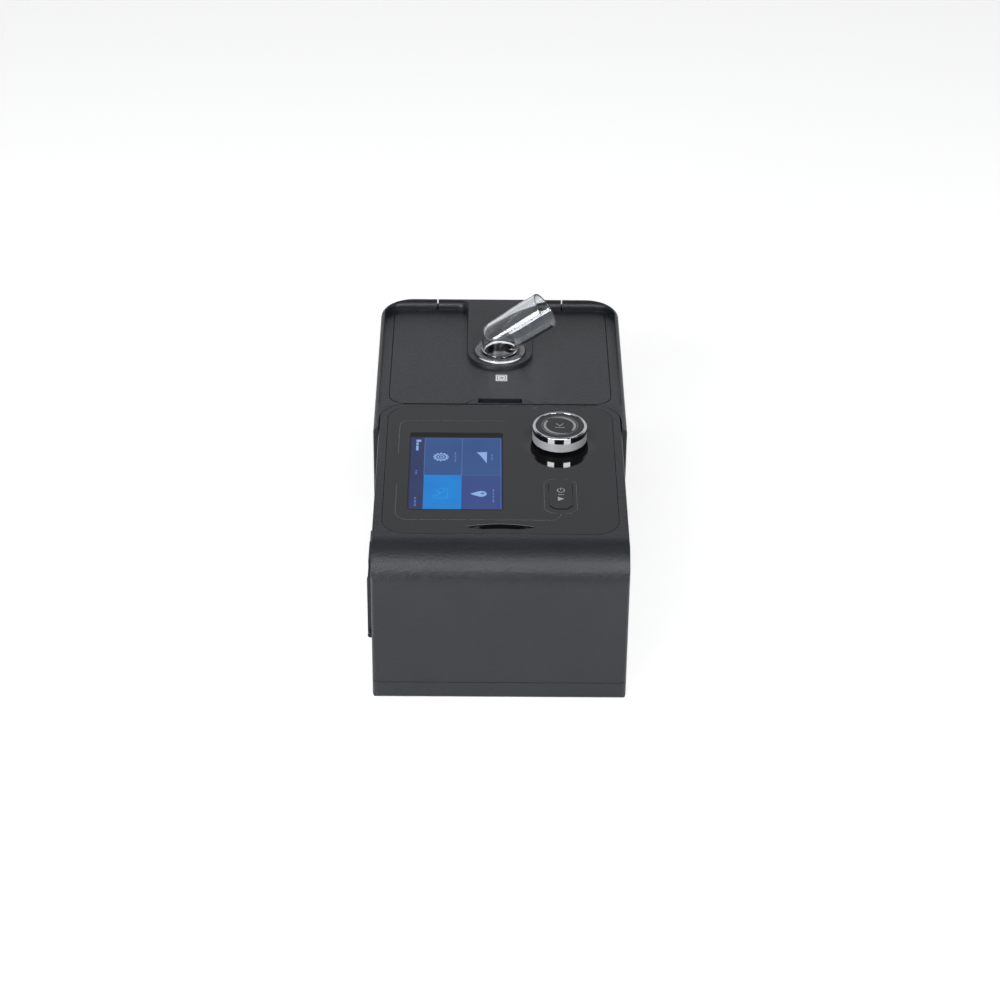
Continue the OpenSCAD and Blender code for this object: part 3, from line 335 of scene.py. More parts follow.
def loft(name, rings, material, body, closed=False, angle=40):
    """A skin over rings that each have the same number of points, given in millimetres."""
    shape = bmesh.new()
    rows = [[shape.verts.new(Vector(p) * MM) for p in ring] for ring in rings]
    pairs = list(zip(rows, rows[1:])) + ([(rows[-1], rows[0])] if closed else [])
    for a, b in pairs:
        for i in range(len(a)):
            j = (i + 1) % len(a)
            shape.faces.new((a[i], a[j], b[j], b[i]))
    if not closed:
        shape.faces.new(rows[0][::-1])
        shape.faces.new(rows[-1])
    bmesh.ops.remove_doubles(shape, verts=shape.verts, dist=1e-7)
    bmesh.ops.recalc_face_normals(shape, faces=shape.faces)
    mesh = bpy.data.meshes.new(name)
    shape.to_mesh(mesh)
    shape.free()
    made = joined(name, mesh, material, body)
    return shaded(made, angle)


def round_ring(x, y, z, radius):
    """A level ring of points."""
    turns = [i * 2 * math.pi / SIDES for i in range(SIDES)]
    return [(x + radius * math.cos(a), y + radius * math.sin(a), z) for a in turns]


def turned(name, centre, profile, material, body, closed=True, angle=40):
    """A turned piece from its half profile of (radius, height) points."""
    rings = [round_ring(*centre, z, r) for r, z in profile]
    return loft(name, rings, material, body, closed, angle)


def arc(cx, cy, radius, start, end, steps):
    """Points on an arc, in degrees."""
    turns = [math.radians(start + (end - start) * i / steps) for i in range(steps + 1)]
    return [(cx + radius * math.cos(a), cy + radius * math.sin(a)) for a in turns]


def plates(name, outlines, low, high, material, body):
    """Flat pieces with upright edges, one for each outline of (x, y) points."""
    shape = bmesh.new()
    for outline in outlines:
        verts = [shape.verts.new(Vector((x, y, low)) * MM) for x, y in outline]
        face = shape.faces.new(verts)
        lifted = bmesh.ops.extrude_face_region(shape, geom=[face])
        moved = [v for v in lifted["geom"] if isinstance(v, bmesh.types.BMVert)]
        bmesh.ops.translate(shape, verts=moved, vec=(0, 0, (high - low) * MM))
    bmesh.ops.recalc_face_normals(shape, faces=shape.faces)
    mesh = bpy.data.meshes.new(name)
    shape.to_mesh(mesh)
    shape.free()
    return joined(name, mesh, material, body)


def bar(x0, x1, y0, y1):
    """The outline of a rectangle."""
    return [(x0, y0), (x1, y0), (x1, y1), (x0, y1)]


def soft_bar(x0, x1, y0, y1, r):
    """The outline of a rectangle with round corners."""
    corners = ((x0 + r, y0 + r, 180), (x1 - r, y0 + r, 270), (x1 - r, y1 - r, 0), (x0 + r, y1 - r, 90))
    return [point for x, y, start in corners for point in arc(x, y, r, start, start + 90, 6)]


def crescent(cx, cy, radius, thick, start, end, steps=24):
    """The outline of an arc that starts thick and runs out thin, as on a turning mark."""
    thin_at, thick_at = 0.97, 0.25
    inner = []
    for i in range(steps + 1):
        a = math.radians(end + (start - end) * i / steps)
        r = radius - thick * math.sin(math.pi * (thin_at + (thick_at - thin_at) * i / steps))
        inner.append((cx + r * math.cos(a), cy + r * math.sin(a)))
    return arc(cx, cy, radius, start, end, steps) + inner


def band(cx, cy, inner, outer, start, end, steps=24):
    """The outline of a ring's sector."""
    return arc(cx, cy, outer, start, end, steps) + arc(cx, cy, inner, end, start, steps)


# ---- node trees that repeat a shape or follow a path ----


def tree_with(name, sockets):
    """A geometry tree, and the sockets of its named inputs."""
    tree = bpy.data.node_groups.new(name, "GeometryNodeTree")
    tree.interface.new_socket("Geometry", in_out="INPUT", socket_type="NodeSocketGeometry")
    for label, kind, default in sockets:
        socket = tree.interface.new_socket(label, in_out="INPUT", socket_type=kind)
        if default is not None:
            socket.default_value = default
    tree.interface.new_socket("Geometry", in_out="OUTPUT", socket_type="NodeSocketGeometry")
    return tree, add(tree, "NodeGroupInput").outputs


def finish_tree(tree, given, geometry):
    """Ends a tree in Realize Instances and Set Material."""
    real = add(tree, "GeometryNodeRealizeInstances", {"Geometry": geometry}).outputs["Geometry"]
    paint = add(tree, "GeometryNodeSetMaterial", {"Geometry": real, "Material": given["Finish"]})
    add(tree, "NodeGroupOutput", {0: paint.outputs["Geometry"]})
    return tree


def printed_line_tree():
    """A flat printed line that follows a curve."""
    tree, given = tree_with(
        "Printed line",
        [
            ("Line width", "NodeSocketFloat", 0.00035),
            ("Ink height", "NodeSocketFloat", 0.00003),
            ("Finish", "NodeSocketMaterial", None),
        ],
    )
    size = {"Width": given["Line width"], "Height": given["Ink height"]}
    section = add(tree, "GeometryNodeCurvePrimitiveQuadrilateral", size, mode="RECTANGLE")
    upright = add(tree, "GeometryNodeSetCurveNormal", {"Curve": given["Geometry"]}, mode="Z_UP")
    runs = {"Curve": upright.outputs["Curve"], "Profile Curve": section.outputs["Curve"], "Fill Caps": True}
    sweep = add(tree, "GeometryNodeCurveToMesh", runs)
    return finish_tree(tree, given, sweep.outputs["Mesh"])


def block_ring_tree():
    """Blocks at even steps round a circle, such as the teeth of a wheel symbol."""
    tree, given = tree_with(
        "Ring of blocks",
        [
            ("Count", "NodeSocketInt", 8),
            ("Radius", "NodeSocketFloat", 0.004),
            ("Block size", "NodeSocketVector", (0.001, 0.001, 0.0001)),
            ("Finish", "NodeSocketMaterial", None),
        ],
    )
    circle = add(tree, "GeometryNodeMeshCircle", {"Vertices": given["Count"], "Radius": given["Radius"]})
    block = add(tree, "GeometryNodeMeshCube", {"Size": given["Block size"]})
    step = add(tree, "ShaderNodeMath", {0: 2 * math.pi, 1: given["Count"]}, operation="DIVIDE")
    index = add(tree, "GeometryNodeInputIndex").outputs["Index"]
    turn = add(tree, "ShaderNodeMath", {0: index, 1: step.outputs["Value"]}, operation="MULTIPLY")
    angle = add(tree, "ShaderNodeCombineXYZ", {"Z": turn.outputs["Value"]})
    blocks = {"Points": circle.outputs["Mesh"], "Instance": block.outputs["Mesh"]}
    blocks["Rotation"] = angle.outputs["Vector"]
    place = add(tree, "GeometryNodeInstanceOnPoints", blocks)
    return finish_tree(tree, given, place.outputs["Instances"])


def grown(name, source, tree, inputs, body, at=(0, 0, 0)):
    """Runs a geometry tree on a curve or an empty mesh, and keeps the plain mesh that it makes."""
    seed = bpy.data.objects.new(name + "_seed", source)
    bpy.context.scene.collection.objects.link(seed)
    modifier = seed.modifiers.new("Grow", "NODES")
    modifier.node_group = tree
    for socket in tree.interface.items_tree:
        if socket.in_out == "INPUT" and socket.name in inputs:
            modifier[socket.identifier] = inputs[socket.name]
    bpy.context.view_layer.update()
    view = bpy.context.evaluated_depsgraph_get()
    mesh = bpy.data.meshes.new_from_object(seed.evaluated_get(view))
    bpy.data.objects.remove(seed)
    mesh.transform(Matrix.Translation(Vector(at) * MM))
    mesh.name = name
    return joined(name, mesh, inputs["Finish"], body)


def line_curve(name, runs, height):
    """A curve of one or more open runs of (x, y) points, at one height."""
    curve = bpy.data.curves.new(name, "CURVE")
    curve.dimensions = "3D"
    for run in runs:
        spline = curve.splines.new("POLY")
        spline.points.add(len(run) - 1)
        for point, (x, y) in zip(spline.points, run):
            point.co = (x * MM, y * MM, height * MM, 1)
    return curve


# ---- values that a user would change ----


class CasingValues(bpy.types.PropertyGroup):
    """Finish of the moulded casings"""

    dark: bpy.props.FloatVectorProperty(
        name="Casing colour", description="Darker tone of the casing plastic", subtype="COLOR", size=4,
        min=0, max=1, default=rgb("1d2024"),
    )
    light: bpy.props.FloatVectorProperty(
        name="Casing colour, light", description="Lighter tone of the casing plastic", subtype="COLOR",
        size=4, min=0, max=1, default=rgb("212428"),
    )
    roughness: bpy.props.FloatProperty(
        name="Roughness", description="Roughness of the casing plastic", default=0.33, min=0.1, max=1,
        subtype="FACTOR",
    )
    grain: bpy.props.FloatProperty(
        name="Grain", description="Strength of the eroded grain", default=0.8, min=0, max=1,
        subtype="FACTOR",
    )


class PanelValues(bpy.types.PropertyGroup):
    """Finish and print of the control panel"""

    gloss: bpy.props.FloatVectorProperty(
        name="Panel colour", description="Colour of the polished panel", subtype="COLOR", size=4,
        min=0, max=1, default=rgb("0f0f10"),
    )
    line: bpy.props.FloatVectorProperty(
        name="Print colour", description="Colour of the printed lines", subtype="COLOR", size=4,
        min=0, max=1, default=rgb("4b4d50"),
    )
    line_width: bpy.props.FloatProperty(
        name="Line width", description="Width of the printed lines", default=0.4 * MM, min=0.1 * MM,
        max=1.0 * MM, unit="LENGTH", precision=5,
    )


class ScreenValues(bpy.types.PropertyGroup):
    """Colours of the display's picture"""

    tile: bpy.props.FloatVectorProperty(
        name="Field colour", description="Colour of the display's fields", subtype="COLOR", size=4,
        min=0, max=1, default=rgb("2b4982"),
    )
    bright: bpy.props.FloatVectorProperty(
        name="Chosen field", description="Colour of the chosen field", subtype="COLOR", size=4,
        min=0, max=1, default=rgb("0080d0"),
    )
    symbol: bpy.props.FloatVectorProperty(
        name="Symbol colour", description="Colour of the display's symbols", subtype="COLOR", size=4,
        min=0, max=1, default=rgb("84a4dc"),
    )
    glow: bpy.props.FloatProperty(
        name="Glow", description="Brightness of the display", default=1.0, min=0, max=3, subtype="FACTOR"
    )


class StudioValues(bpy.types.PropertyGroup):
    """Light of the studio"""

    sky: bpy.props.FloatProperty(
        name="Backdrop light", description="Brightness of the white backdrop behind the machine",
        default=0.63, min=0, max=3,
    )
    box: bpy.props.FloatProperty(
        name="Softbox brightness", description="Brightness of the two softboxes in front of the machine",
        default=10.0, min=0, max=40,
    )
    top: bpy.props.FloatProperty(
        name="Top lamp brightness", description="Brightness of the lamps over and beside the machine",
        default=2.15, min=0, max=40,
    )


def values(name):
    """One of the scene's groups of values."""
    return getattr(bpy.context.scene, "machine_" + name)


# ---- operators ----


class MACHINE_OT_stage(bpy.types.Operator):
    """Sets the camera, the white floor, the room's light and the lamps"""

    bl_idname = "machine.stage"
    bl_label = "Set the stage"

    def execute(self, context):
        self.camera(context)
        self.room(context)
        self.floor(context)
        self.lamps(context)
        return {"FINISHED"}

    def camera(self, context):
        """A long lens in front of and above the machine, with its place in millimetres."""
        place, focal_length, sensor = (-9.513, -1351.41, 891.32), 101.1, 36
        yaw, pitch, roll = (math.radians(a) for a in (0.419, 32.326, 0.601))
        ahead = math.cos(pitch)
        forward = Vector((math.sin(yaw) * ahead, math.cos(yaw) * ahead, -math.sin(pitch)))
        level = Vector((math.cos(yaw), -math.sin(yaw), 0))
        rise = level.cross(forward)
        right = math.cos(roll) * level + math.sin(roll) * rise
        up = math.cos(roll) * rise - math.sin(roll) * level
        lens = bpy.data.cameras.new("Camera")
        lens.sensor_width = sensor
        lens.lens = focal_length
        lens.clip_start = 0.01
        made = bpy.data.objects.new("Camera", lens)
        turn = Matrix((right, up, -forward)).transposed().to_4x4()
        made.matrix_world = Matrix.Translation(Vector(place) * MM) @ turn
        context.scene.collection.objects.link(made)
        context.scene.camera = made

    def room(self, context):
        """White backdrop behind the machine, and a dark room elsewhere.

        The stops go over the room as a share of half a turn, from the horizon ahead of the camera to the
        one behind it, each with its level of light.
        """
        stops = [(0, 1), (0.21, 1), (0.27, 0.3), (0.33, 0.06), (0.6, 0.05), (0.8, 0.04), (1, 0.04)]
        cool_white = (0.98, 1.0, 1.03)
        world = bpy.data.worlds.new("Room")
        context.scene.world = world
        world.use_nodes = True
        tree = world.node_tree
        tree.nodes.clear()
        way = add(tree, "ShaderNodeTexCoord").outputs["Generated"]
        split = add(tree, "ShaderNodeSeparateXYZ", {0: way}).outputs
        angle = add(tree, "ShaderNodeMath", {0: split["Z"], 1: split["Y"]}, operation="ARCTAN2")
        share = add(tree, "ShaderNodeMath", {0: angle.outputs[0], 1: math.pi}, operation="DIVIDE")
        ramp = add(tree, "ShaderNodeValToRGB", {"Fac": share.outputs[0]})
        while len(ramp.color_ramp.elements) < len(stops):
            ramp.color_ramp.elements.new(0.5)
        for element, (at, level) in zip(ramp.color_ramp.elements, stops):
            element.position = at
            element.color = (*(level * part for part in cool_white), 1)
        light = {"Color": ramp.outputs["Color"], "Strength": values("studio").sky}
        dim = add(tree, "ShaderNodeBackground", light)
        white = add(tree, "ShaderNodeBackground", {"Color": (1, 1, 1, 1)})
        path = add(tree, "ShaderNodeLightPath").outputs
        rays = {0: path["Is Camera Ray"], 1: path["Is Transmission Ray"]}
        seen = add(tree, "ShaderNodeMath", rays, operation="MAXIMUM")
        mix = add(tree, "ShaderNodeMixShader", {0: seen.outputs[0], 1: dim.outputs[0], 2: white.outputs[0]})
        add(tree, "ShaderNodeOutputWorld", {"Surface": mix.outputs[0]})

    def floor(self, context):
        """White paper, with a glow that the camera sees and a weaker one for metal and clear plastic."""
        glow_seen, glow_mirrored = 0.62, 0.3
        bpy.ops.mesh.primitive_plane_add(size=12, location=(0, 0, -0.0001))
        made = context.object
        made.name = "floor"
        paper = Finish("white_paper", rgb("d2d2d2"), 0.9)
        paper.relief(300, 3.0, 0.04, 0.1 * MM)
        tree = paper.tree
        path = add(tree, "ShaderNodeLightPath").outputs
        rays = {0: path["Is Glossy Ray"], 1: path["Is Transmission Ray"]}
        through = add(tree, "ShaderNodeMath", rays, operation="MAXIMUM")
        weak = {0: through.outputs[0], 1: glow_mirrored}
        weak = add(tree, "ShaderNodeMath", weak, operation="MULTIPLY")
        both = {0: path["Is Camera Ray"], 1: glow_seen, 2: weak.outputs[0]}
        level = add(tree, "ShaderNodeMath", both, operation="MULTIPLY_ADD").outputs[0]
        glow = add(tree, "ShaderNodeEmission", {"Color": (1, 1, 1, 1), "Strength": level})
        sum_of = add(tree, "ShaderNodeAddShader", {0: paper.shader.outputs[0], 1: glow.outputs[0]})
        out = next(n for n in tree.nodes if n.type == "OUTPUT_MATERIAL")
        tree.links.new(sum_of.outputs[0], out.inputs["Surface"])
        made.data.materials.append(paper.material)

    def lamps(self, context):
        """Two softboxes in front, a large lamp overhead and two small ones at the sides.

        Each has its azimuth and elevation in degrees, and its distance, width and height in metres.
        """
        look = values("studio")
        middle = Vector((*KNOB, TOP)) * MM
        for name, azimuth, elevation, away, wide, high, brightness in (
            ("softbox_left", -37, 23, 1.5, 0.66, 0.86, look.box),
            ("softbox_right", 32, 29.5, 1.5, 0.66, 0.52, look.box),
            ("lamp_overhead", 0, 50, 1.3, 1.0, 0.7, look.top),
            ("lamp_left", -100, 60, 1.5, 0.5, 0.5, look.top),
            ("lamp_right", 100, 60, 1.5, 0.5, 0.5, look.top),
        ):
            light = bpy.data.lights.new(name, "AREA")
            light.shape = "RECTANGLE"
            light.size = wide
            light.size_y = high
            light.energy = brightness * math.pi * wide * high
            turn, tilt = math.radians(azimuth), math.radians(elevation)
            out = math.cos(tilt)
            spot = Vector((math.sin(turn) * out, -math.cos(turn) * out, math.sin(tilt))) * away
            made = bpy.data.objects.new(name, light)
            made.location = spot + middle
            made.rotation_euler = (-spot).to_track_quat("-Z", "Y").to_euler()
            context.scene.collection.objects.link(made)


class MACHINE_OT_casings(bpy.types.Operator):
    """Dresses the moulded casings, the lid, its latch and the filter cover"""

    bl_idname = "machine.casings"
    bl_label = "Dress the casings"

    def execute(self, context):
        look = values("casing")
        shell = eroded_plastic("case_grey", tuple(look.dark), tuple(look.light), look.roughness, look.grain)
        for node in (
            "blower_case", "blower_base", "humidifier_case", "humidifier_base", "humidifier_lid",
            "lid_latch", "filter_cover",
        ):
            casing(node, shell)
        return {"FINISHED"}


class MACHINE_OT_panel(bpy.types.Operator):
    """Dresses the control panel, its window and key, prints its thin lines and paints a highlight along the
    groove's edge
    """

    bl_idname = "machine.panel"
    bl_label = "Dress the panel"

    def execute(self, context):
        look = values("panel")
        gloss = polished_plastic("panel_gloss", tuple(look.gloss), rgb("121213"), 0.05)
        panel = casing("control_panel", gloss, 20)
        self.smooth_dish(panel)
        casing("start_key", gloss)
        window = polished_plastic("window_gloss", rgb("0c0c12"), rgb("0e0e15"), 0.05)
        casing("display_window", window)
        print_ink = ink("printed_grey", tuple(look.line))
        tree = printed_line_tree()
        level = TOP + LAYER
        left, far, near = -55.8, -3.6, -105.6
        frame_runs = [
            [(2.1, far), (-51.5, far), (-53.6, -4.4), (-55.2, -6.2), (left, -8.4), (left, -38.5)],
            [(left, -71.2), (left, -99.0), (-55.2, -101.8), (-53.4, -104.2), (-50.2, near), (27.1, near)]
            + [(28.7, -105.0), (30.1, -103.9), (31.2, -102.2), (31.9, -100.2), (32.1, -98.9)],
        ]
        inputs = {"Line width": look.line_width, "Ink height": 2 * LAYER * MM, "Finish": print_ink}
        grown("panel_lines", line_curve("panel_lines", frame_runs, level), tree, inputs, "base")
        low, high, cut = -98.6, -64.6, 3.6
        key_runs = [
            [(far_end, high), (side + inward, high), (side, high - cut), (side, low + cut)]
            + [(side + inward, low), (near_end, low)]
            for side, inward, far_end, near_end in ((23.4, cut, 30.4, 30.0), (40.8, -cut, 34.0, 34.2))
        ]
        grown("key_lines", line_curve("key_lines", key_runs, level), tree, inputs, "base")
        # A thin pale band along the groove's far edge: a painted highlight where that edge would catch the
        # light.
        highlight_band = arc(0, GROOVE_CENTRE_Y, GROOVE_RADIUS + 0.1, 73.4, 106.6, 32)
        highlight_band += arc(0, GROOVE_CENTRE_Y, GROOVE_RADIUS + 0.4, 106.2, 73.8, 32)
        highlight_paint = ink("groove_painted_highlight", rgb("6c6e72"), 0.3)
        plates("groove_highlight_band", [highlight_band], TOP + LAYER / 4, level, highlight_paint, "base")
        return {"FINISHED"}

    def smooth_dish(self, panel):
        """Shades the shallow dish round the knob as a bowl that runs out level at its edge."""
        reach, depth, steepest = 22.5, 1.1, 0.16
        mesh = panel.data
        normals = [Vector(corner.vector) for corner in mesh.corner_normals]
        for face in mesh.polygons:
            spots = [mesh.vertices[i].co / MM - Vector((*KNOB, TOP)) for i in face.vertices]
            inside = all(spot.xy.length < reach + 0.1 and -depth - 0.1 < spot.z < 0.1 for spot in spots)
            if inside and face.normal.z > 0.9:
                for i, spot in zip(face.loop_indices, spots):
                    out = min(spot.xy.length / reach, 1)
                    way = spot.xy.normalized() if out > 0.01 else Vector((0, 0))
                    lean = -steepest * math.sin(math.pi * out**1.6) * way
                    normals[i] = Vector((*lean, 1)).normalized()
        mesh.normals_split_custom_set(normals)


class MACHINE_OT_screen(bpy.types.Operator):
    """Lights the display: status column, four fields and their symbols"""

    bl_idname = "machine.screen"
    bl_label = "Light the screen"

    def execute(self, context):
        look = values("screen")
        glow = look.glow
        low = TOP + LAYER
        high = low + LAYER
        dark = Finish("screen_edge", rgb("171413"), 0.12, IOR=1.22).material
        edge_plate = soft_bar(-49.8, 1.5, -96.0, -16.4, 1.6)
        made = plates("screen_edge", [edge_plate], TOP + LAYER / 4, low, dark, "base")
        field = lit_cell("field_blue", tuple(look.tile), rgb("2d5088"), glow)
        deep = lit_cell("field_indigo", rgb("2c4180"), rgb("2e4884"), glow)
        bright = lit_cell("field_bright", tuple(look.bright), rgb("0a74c6"), glow)
        column = lit_cell("status_blue", rgb("222f5a"), rgb("27345f"), glow)
        rim = lit_cell("field_rim", rgb("1a2450"), rgb("1c2856"), glow * 0.7)
        lines = lit_cell("field_lines", rgb("4a6ca6"), rgb("5476ae"), glow)
        x0, x1, split, y0, y1, middle, edge = -48.8, 0.6, -20.9, -95.4, -22.4, -61.0, -41.4
        for name, outline, finish in (
            ("status_column", bar(x0, edge, y0, y1), column),
            ("field_settings", bar(edge, split, middle, y1), field),
            ("field_report", bar(split, x1, middle, y1), field),
            ("field_chosen", bar(edge, split, y0, middle), bright),
            ("field_water", bar(split, x1, y0, middle), deep),
        ):
            plates(name, [outline], low, high, finish, "base")
        rims = [
            bar(x0 - 0.5, x1 + 0.6, y1, y1 + 1.1), bar(x0 - 0.7, x0, y0, y1), bar(x1, x1 + 0.6, y0, y1),
        ]
        plates("field_rims", rims, low, high, rim, "base")
        parted = [bar(x - 0.15, x + 0.15, middle, y1 - 0.3) for x in (edge, split)] + [
            bar(split + 1.0, x1 - 0.6, middle - 0.1, middle + 0.1),
            bar(x1 - 0.5, x1 - 0.25, y0 + 0.4, y1 - 0.4),
            bar(edge, x1 - 0.5, y1 - 0.35, y1 - 0.1),
        ]
        plates("field_lines", parted, high, high + LAYER / 2, lines, "base")
        self.symbols(look, high)
        return {"FINISHED"}

    def symbols(self, look, low):
        """Wheel, wedge, drop and line drawing in the four fields, with plain dashes beside them."""
        high = low + LAYER
        pale = lit_cell("symbol_blue", tuple(look.symbol), rgb("8cace2"), look.glow)
        soft = lit_cell("symbol_soft", rgb("4a6aa6"), rgb("5273ae"), look.glow)
        faint = lit_cell("symbol_faint", rgb("2c92dc"), rgb("3698e0"), look.glow)
        gear = (-32.4, -42.4)
        tooth = (0.9 * MM, 1.0 * MM, LAYER * MM)
        teeth = {"Count": 12, "Radius": 3.9 * MM, "Block size": tooth, "Finish": pale}
        seed, place = bpy.data.meshes.new("teeth"), (*gear, low + LAYER / 2)
        made = [grown("settings_teeth", seed, block_ring_tree(), teeth, "base", place)]
        rounds = ((2.7, 3.6, 40), (1.3, 1.9, 24), (0.05, 0.6, 16))
        wheel = [band(*gear, inner, outer, 0, 360, steps) for inner, outer, steps in rounds]
        made.append(plates("settings_wheel", wheel, low, high, pale, "base"))
        wedge = [(-7.3, -37.0), (-7.4, -48.7), (-9.6, -43.6), (-11.4, -39.7), (-13.0, -37.4)]
        made.append(plates("report_wedge", [wedge], low, high, pale, "base"))
        drop = [(-16.3, -80.0), (-13.6, -78.4)] + arc(-10.3, -80.0, 2.9, 120, -120, 24) + [(-13.6, -81.6)]
        made.append(plates("water_drop", [drop], low, high, pale, "base"))
        glint = band(-9.6, -79.6, 0.05, 1.0, 0, 360, 16)
        made.append(plates("water_glint", [glint], high, high + LAYER / 2, soft, "base"))
        cx0, cx1, cy0, cy1, line = -35.7, -28.4, -84.6, -74.6, 0.3
        frame_bars = [
            bar(cx0, cx1, cy0, cy0 + line), bar(cx0 + 2.2, cx1, cy1 - line, cy1),
            bar(cx0, cx0 + line, cy0, cy0 + 3.4), bar(cx1 - line, cx1, cy0, cy1),
        ]
        mark = [
            [(-35.2, -82.2), (-34.8, -82.5), (-31.6, -79.4), (-32.0, -79.1)],
            [(-32.0, -79.7), (-31.6, -79.4), (-34.6, -76.0), (-35.0, -76.3)],
            [(-31.4, -79.0), (-31.1, -79.2), (-29.4, -75.6), (-29.7, -75.4)],
        ]
        made.append(plates("therapy_mark", frame_bars + mark, low, high, faint, "base"))
        labels = []
        rows = (
            (-24.6, -47.6, (3.6, 2.2, 3.0)), (-4.6, -45.6, (3.2, 2.6)), (-3.8, -88.6, (3.4, 2.8, 2.0, 3.0)),
        )
        for x, y, lengths in rows:
            for length in lengths:
                labels.append(bar(x - 0.4, x + 0.4, y, y + length))
                y += length + 0.8
        for y, length in ((-60.4, 2.0), (-57.6, 1.4), (-92.6, 2.6), (-89.2, 2.6), (-85.6, 2.0)):
            labels.append(bar(-46.0, -45.1, y, y + length))
        made.append(plates("screen_dashes", labels, low, high, soft, "base"))
        status = [
            bar(-46.2, -44.9, -35.6, -30.6), bar(-46.2, -44.9, -29.8, -27.4), bar(-46.2, -43.6, -26.6, -24.4),
        ]
        made.append(plates("status_dashes", status, low, high, pale, "base"))


class MACHINE_OT_start_symbol(bpy.types.Operator):
    """Prints the start and stand-by symbols on the key"""

    bl_idname = "machine.start_symbol"
    bl_label = "Print the key's symbols"

    def execute(self, context):
        pale = ink("key_print", rgb("9fa0a4"), 0.3)
        low, high = KEY_TOP + LAYER / 2, KEY_TOP + 2.5 * LAYER
        x, half = KEY_X, 1.7
        stand_by = [band(x, -76.4, 1.75, 2.15, 115, 425, 32), bar(x - 0.2, x + 0.2, -76.0, -73.7)]
        start = [[(x - half, -86.9), (x + half, -84.9), (x - half, -82.9)]]
        dash = [bar(x - half, x + half, -80.9, -80.5)]
        made = plates("key_symbols", stand_by + start + dash, low, high, pale, "key")
        return {"FINISHED"}


class MACHINE_OT_knob(bpy.types.Operator):
    """Turns the knob: plated ring, satin skirt and the marked black top"""

    bl_idname = "machine.knob"
    bl_label = "Turn the knob"

    def execute(self, context):
        chrome = turned_metal("knob_chrome", rgb("dcdde0"), 0.03, (20, 20, 900), 0)
        # The satin's last colour is its painted near-black reflection in the panel under the knob.
        satin = blasted_metal("knob_satin", rgb("b8babd"), rgb("c0c2c5"), rgb("0a0b0d"))
        black = polished_plastic("knob_black", rgb("0d0d0e"), rgb("101011"), 0.06)
        grey = ink("knob_print", rgb("8e9094"), 0.25)
        side, foot, border, top = 15, 91.2, 96.4, KNOB_TOP
        wall, shelf, rim = 13.5, top - 1.6, 0.25
        corner = arc(side - rim, top - 0.4 - rim, rim, 0, 60, 5)
        bead = [(x, top - 0.45 + 0.6 * y) for x, y in arc(14.05, 0, 0.75, 30, 150, 12)]
        ring = [(wall, border), (side, border)] + corner + bead
        ring += [(13.3, top - 0.4), (13.3, shelf), (wall, shelf)]
        core = [(3, foot + 2.4), (13, foot + 2.4), (13, foot), (14.6, foot), (14.9, foot + 0.15)]
        core += [(side, foot + 0.4), (side, border - 0.1), (14.9, border), (wall, border)]
        core += [(wall, shelf), (3, shelf)]
        disc = [(0.01, shelf), (13.25, shelf), (13.25, top - 0.35), (13.1, top - 0.3), (0.01, top - 0.3)]
        for node, profile, finish, slot, closed in (
            ("knob_ring", ring, chrome, "knob_chrome", True),
            ("knob_core", core, satin, "knob_satin", True),
            ("knob_disc", disc, black, "panel_gloss", False),
        ):
            made = turned(node + "_turned", KNOB, profile, finish, "knob", closed=closed, angle=30)
            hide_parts(node)
        plates("knob_marks", self.marks(), top - 0.29, top - 0.25, grey, "knob")
        return {"FINISHED"}

    def marks(self):
        """Thin ring, two crescents that run out, and a chevron over a bar as the sign for pressing."""
        x, y = KNOB
        made = [band(x, y, 9.8, 10.0, 0, 360, 72)]
        made += [crescent(x, y, 9.0, 1.5, start, start + 158) for start in (142, -38)]
        made.append(bar(x - 2.6, x + 2.6, y - 2.3, y - 1.8))
        made += [
            [(x - 2.4, y + 2.2), (x - 1.8, y + 2.2), (x, y + 0.1), (x, y - 0.7)],
            [(x, y - 0.7), (x, y + 0.1), (x + 1.8, y + 2.2), (x + 2.4, y + 2.2)],
        ]
        return made


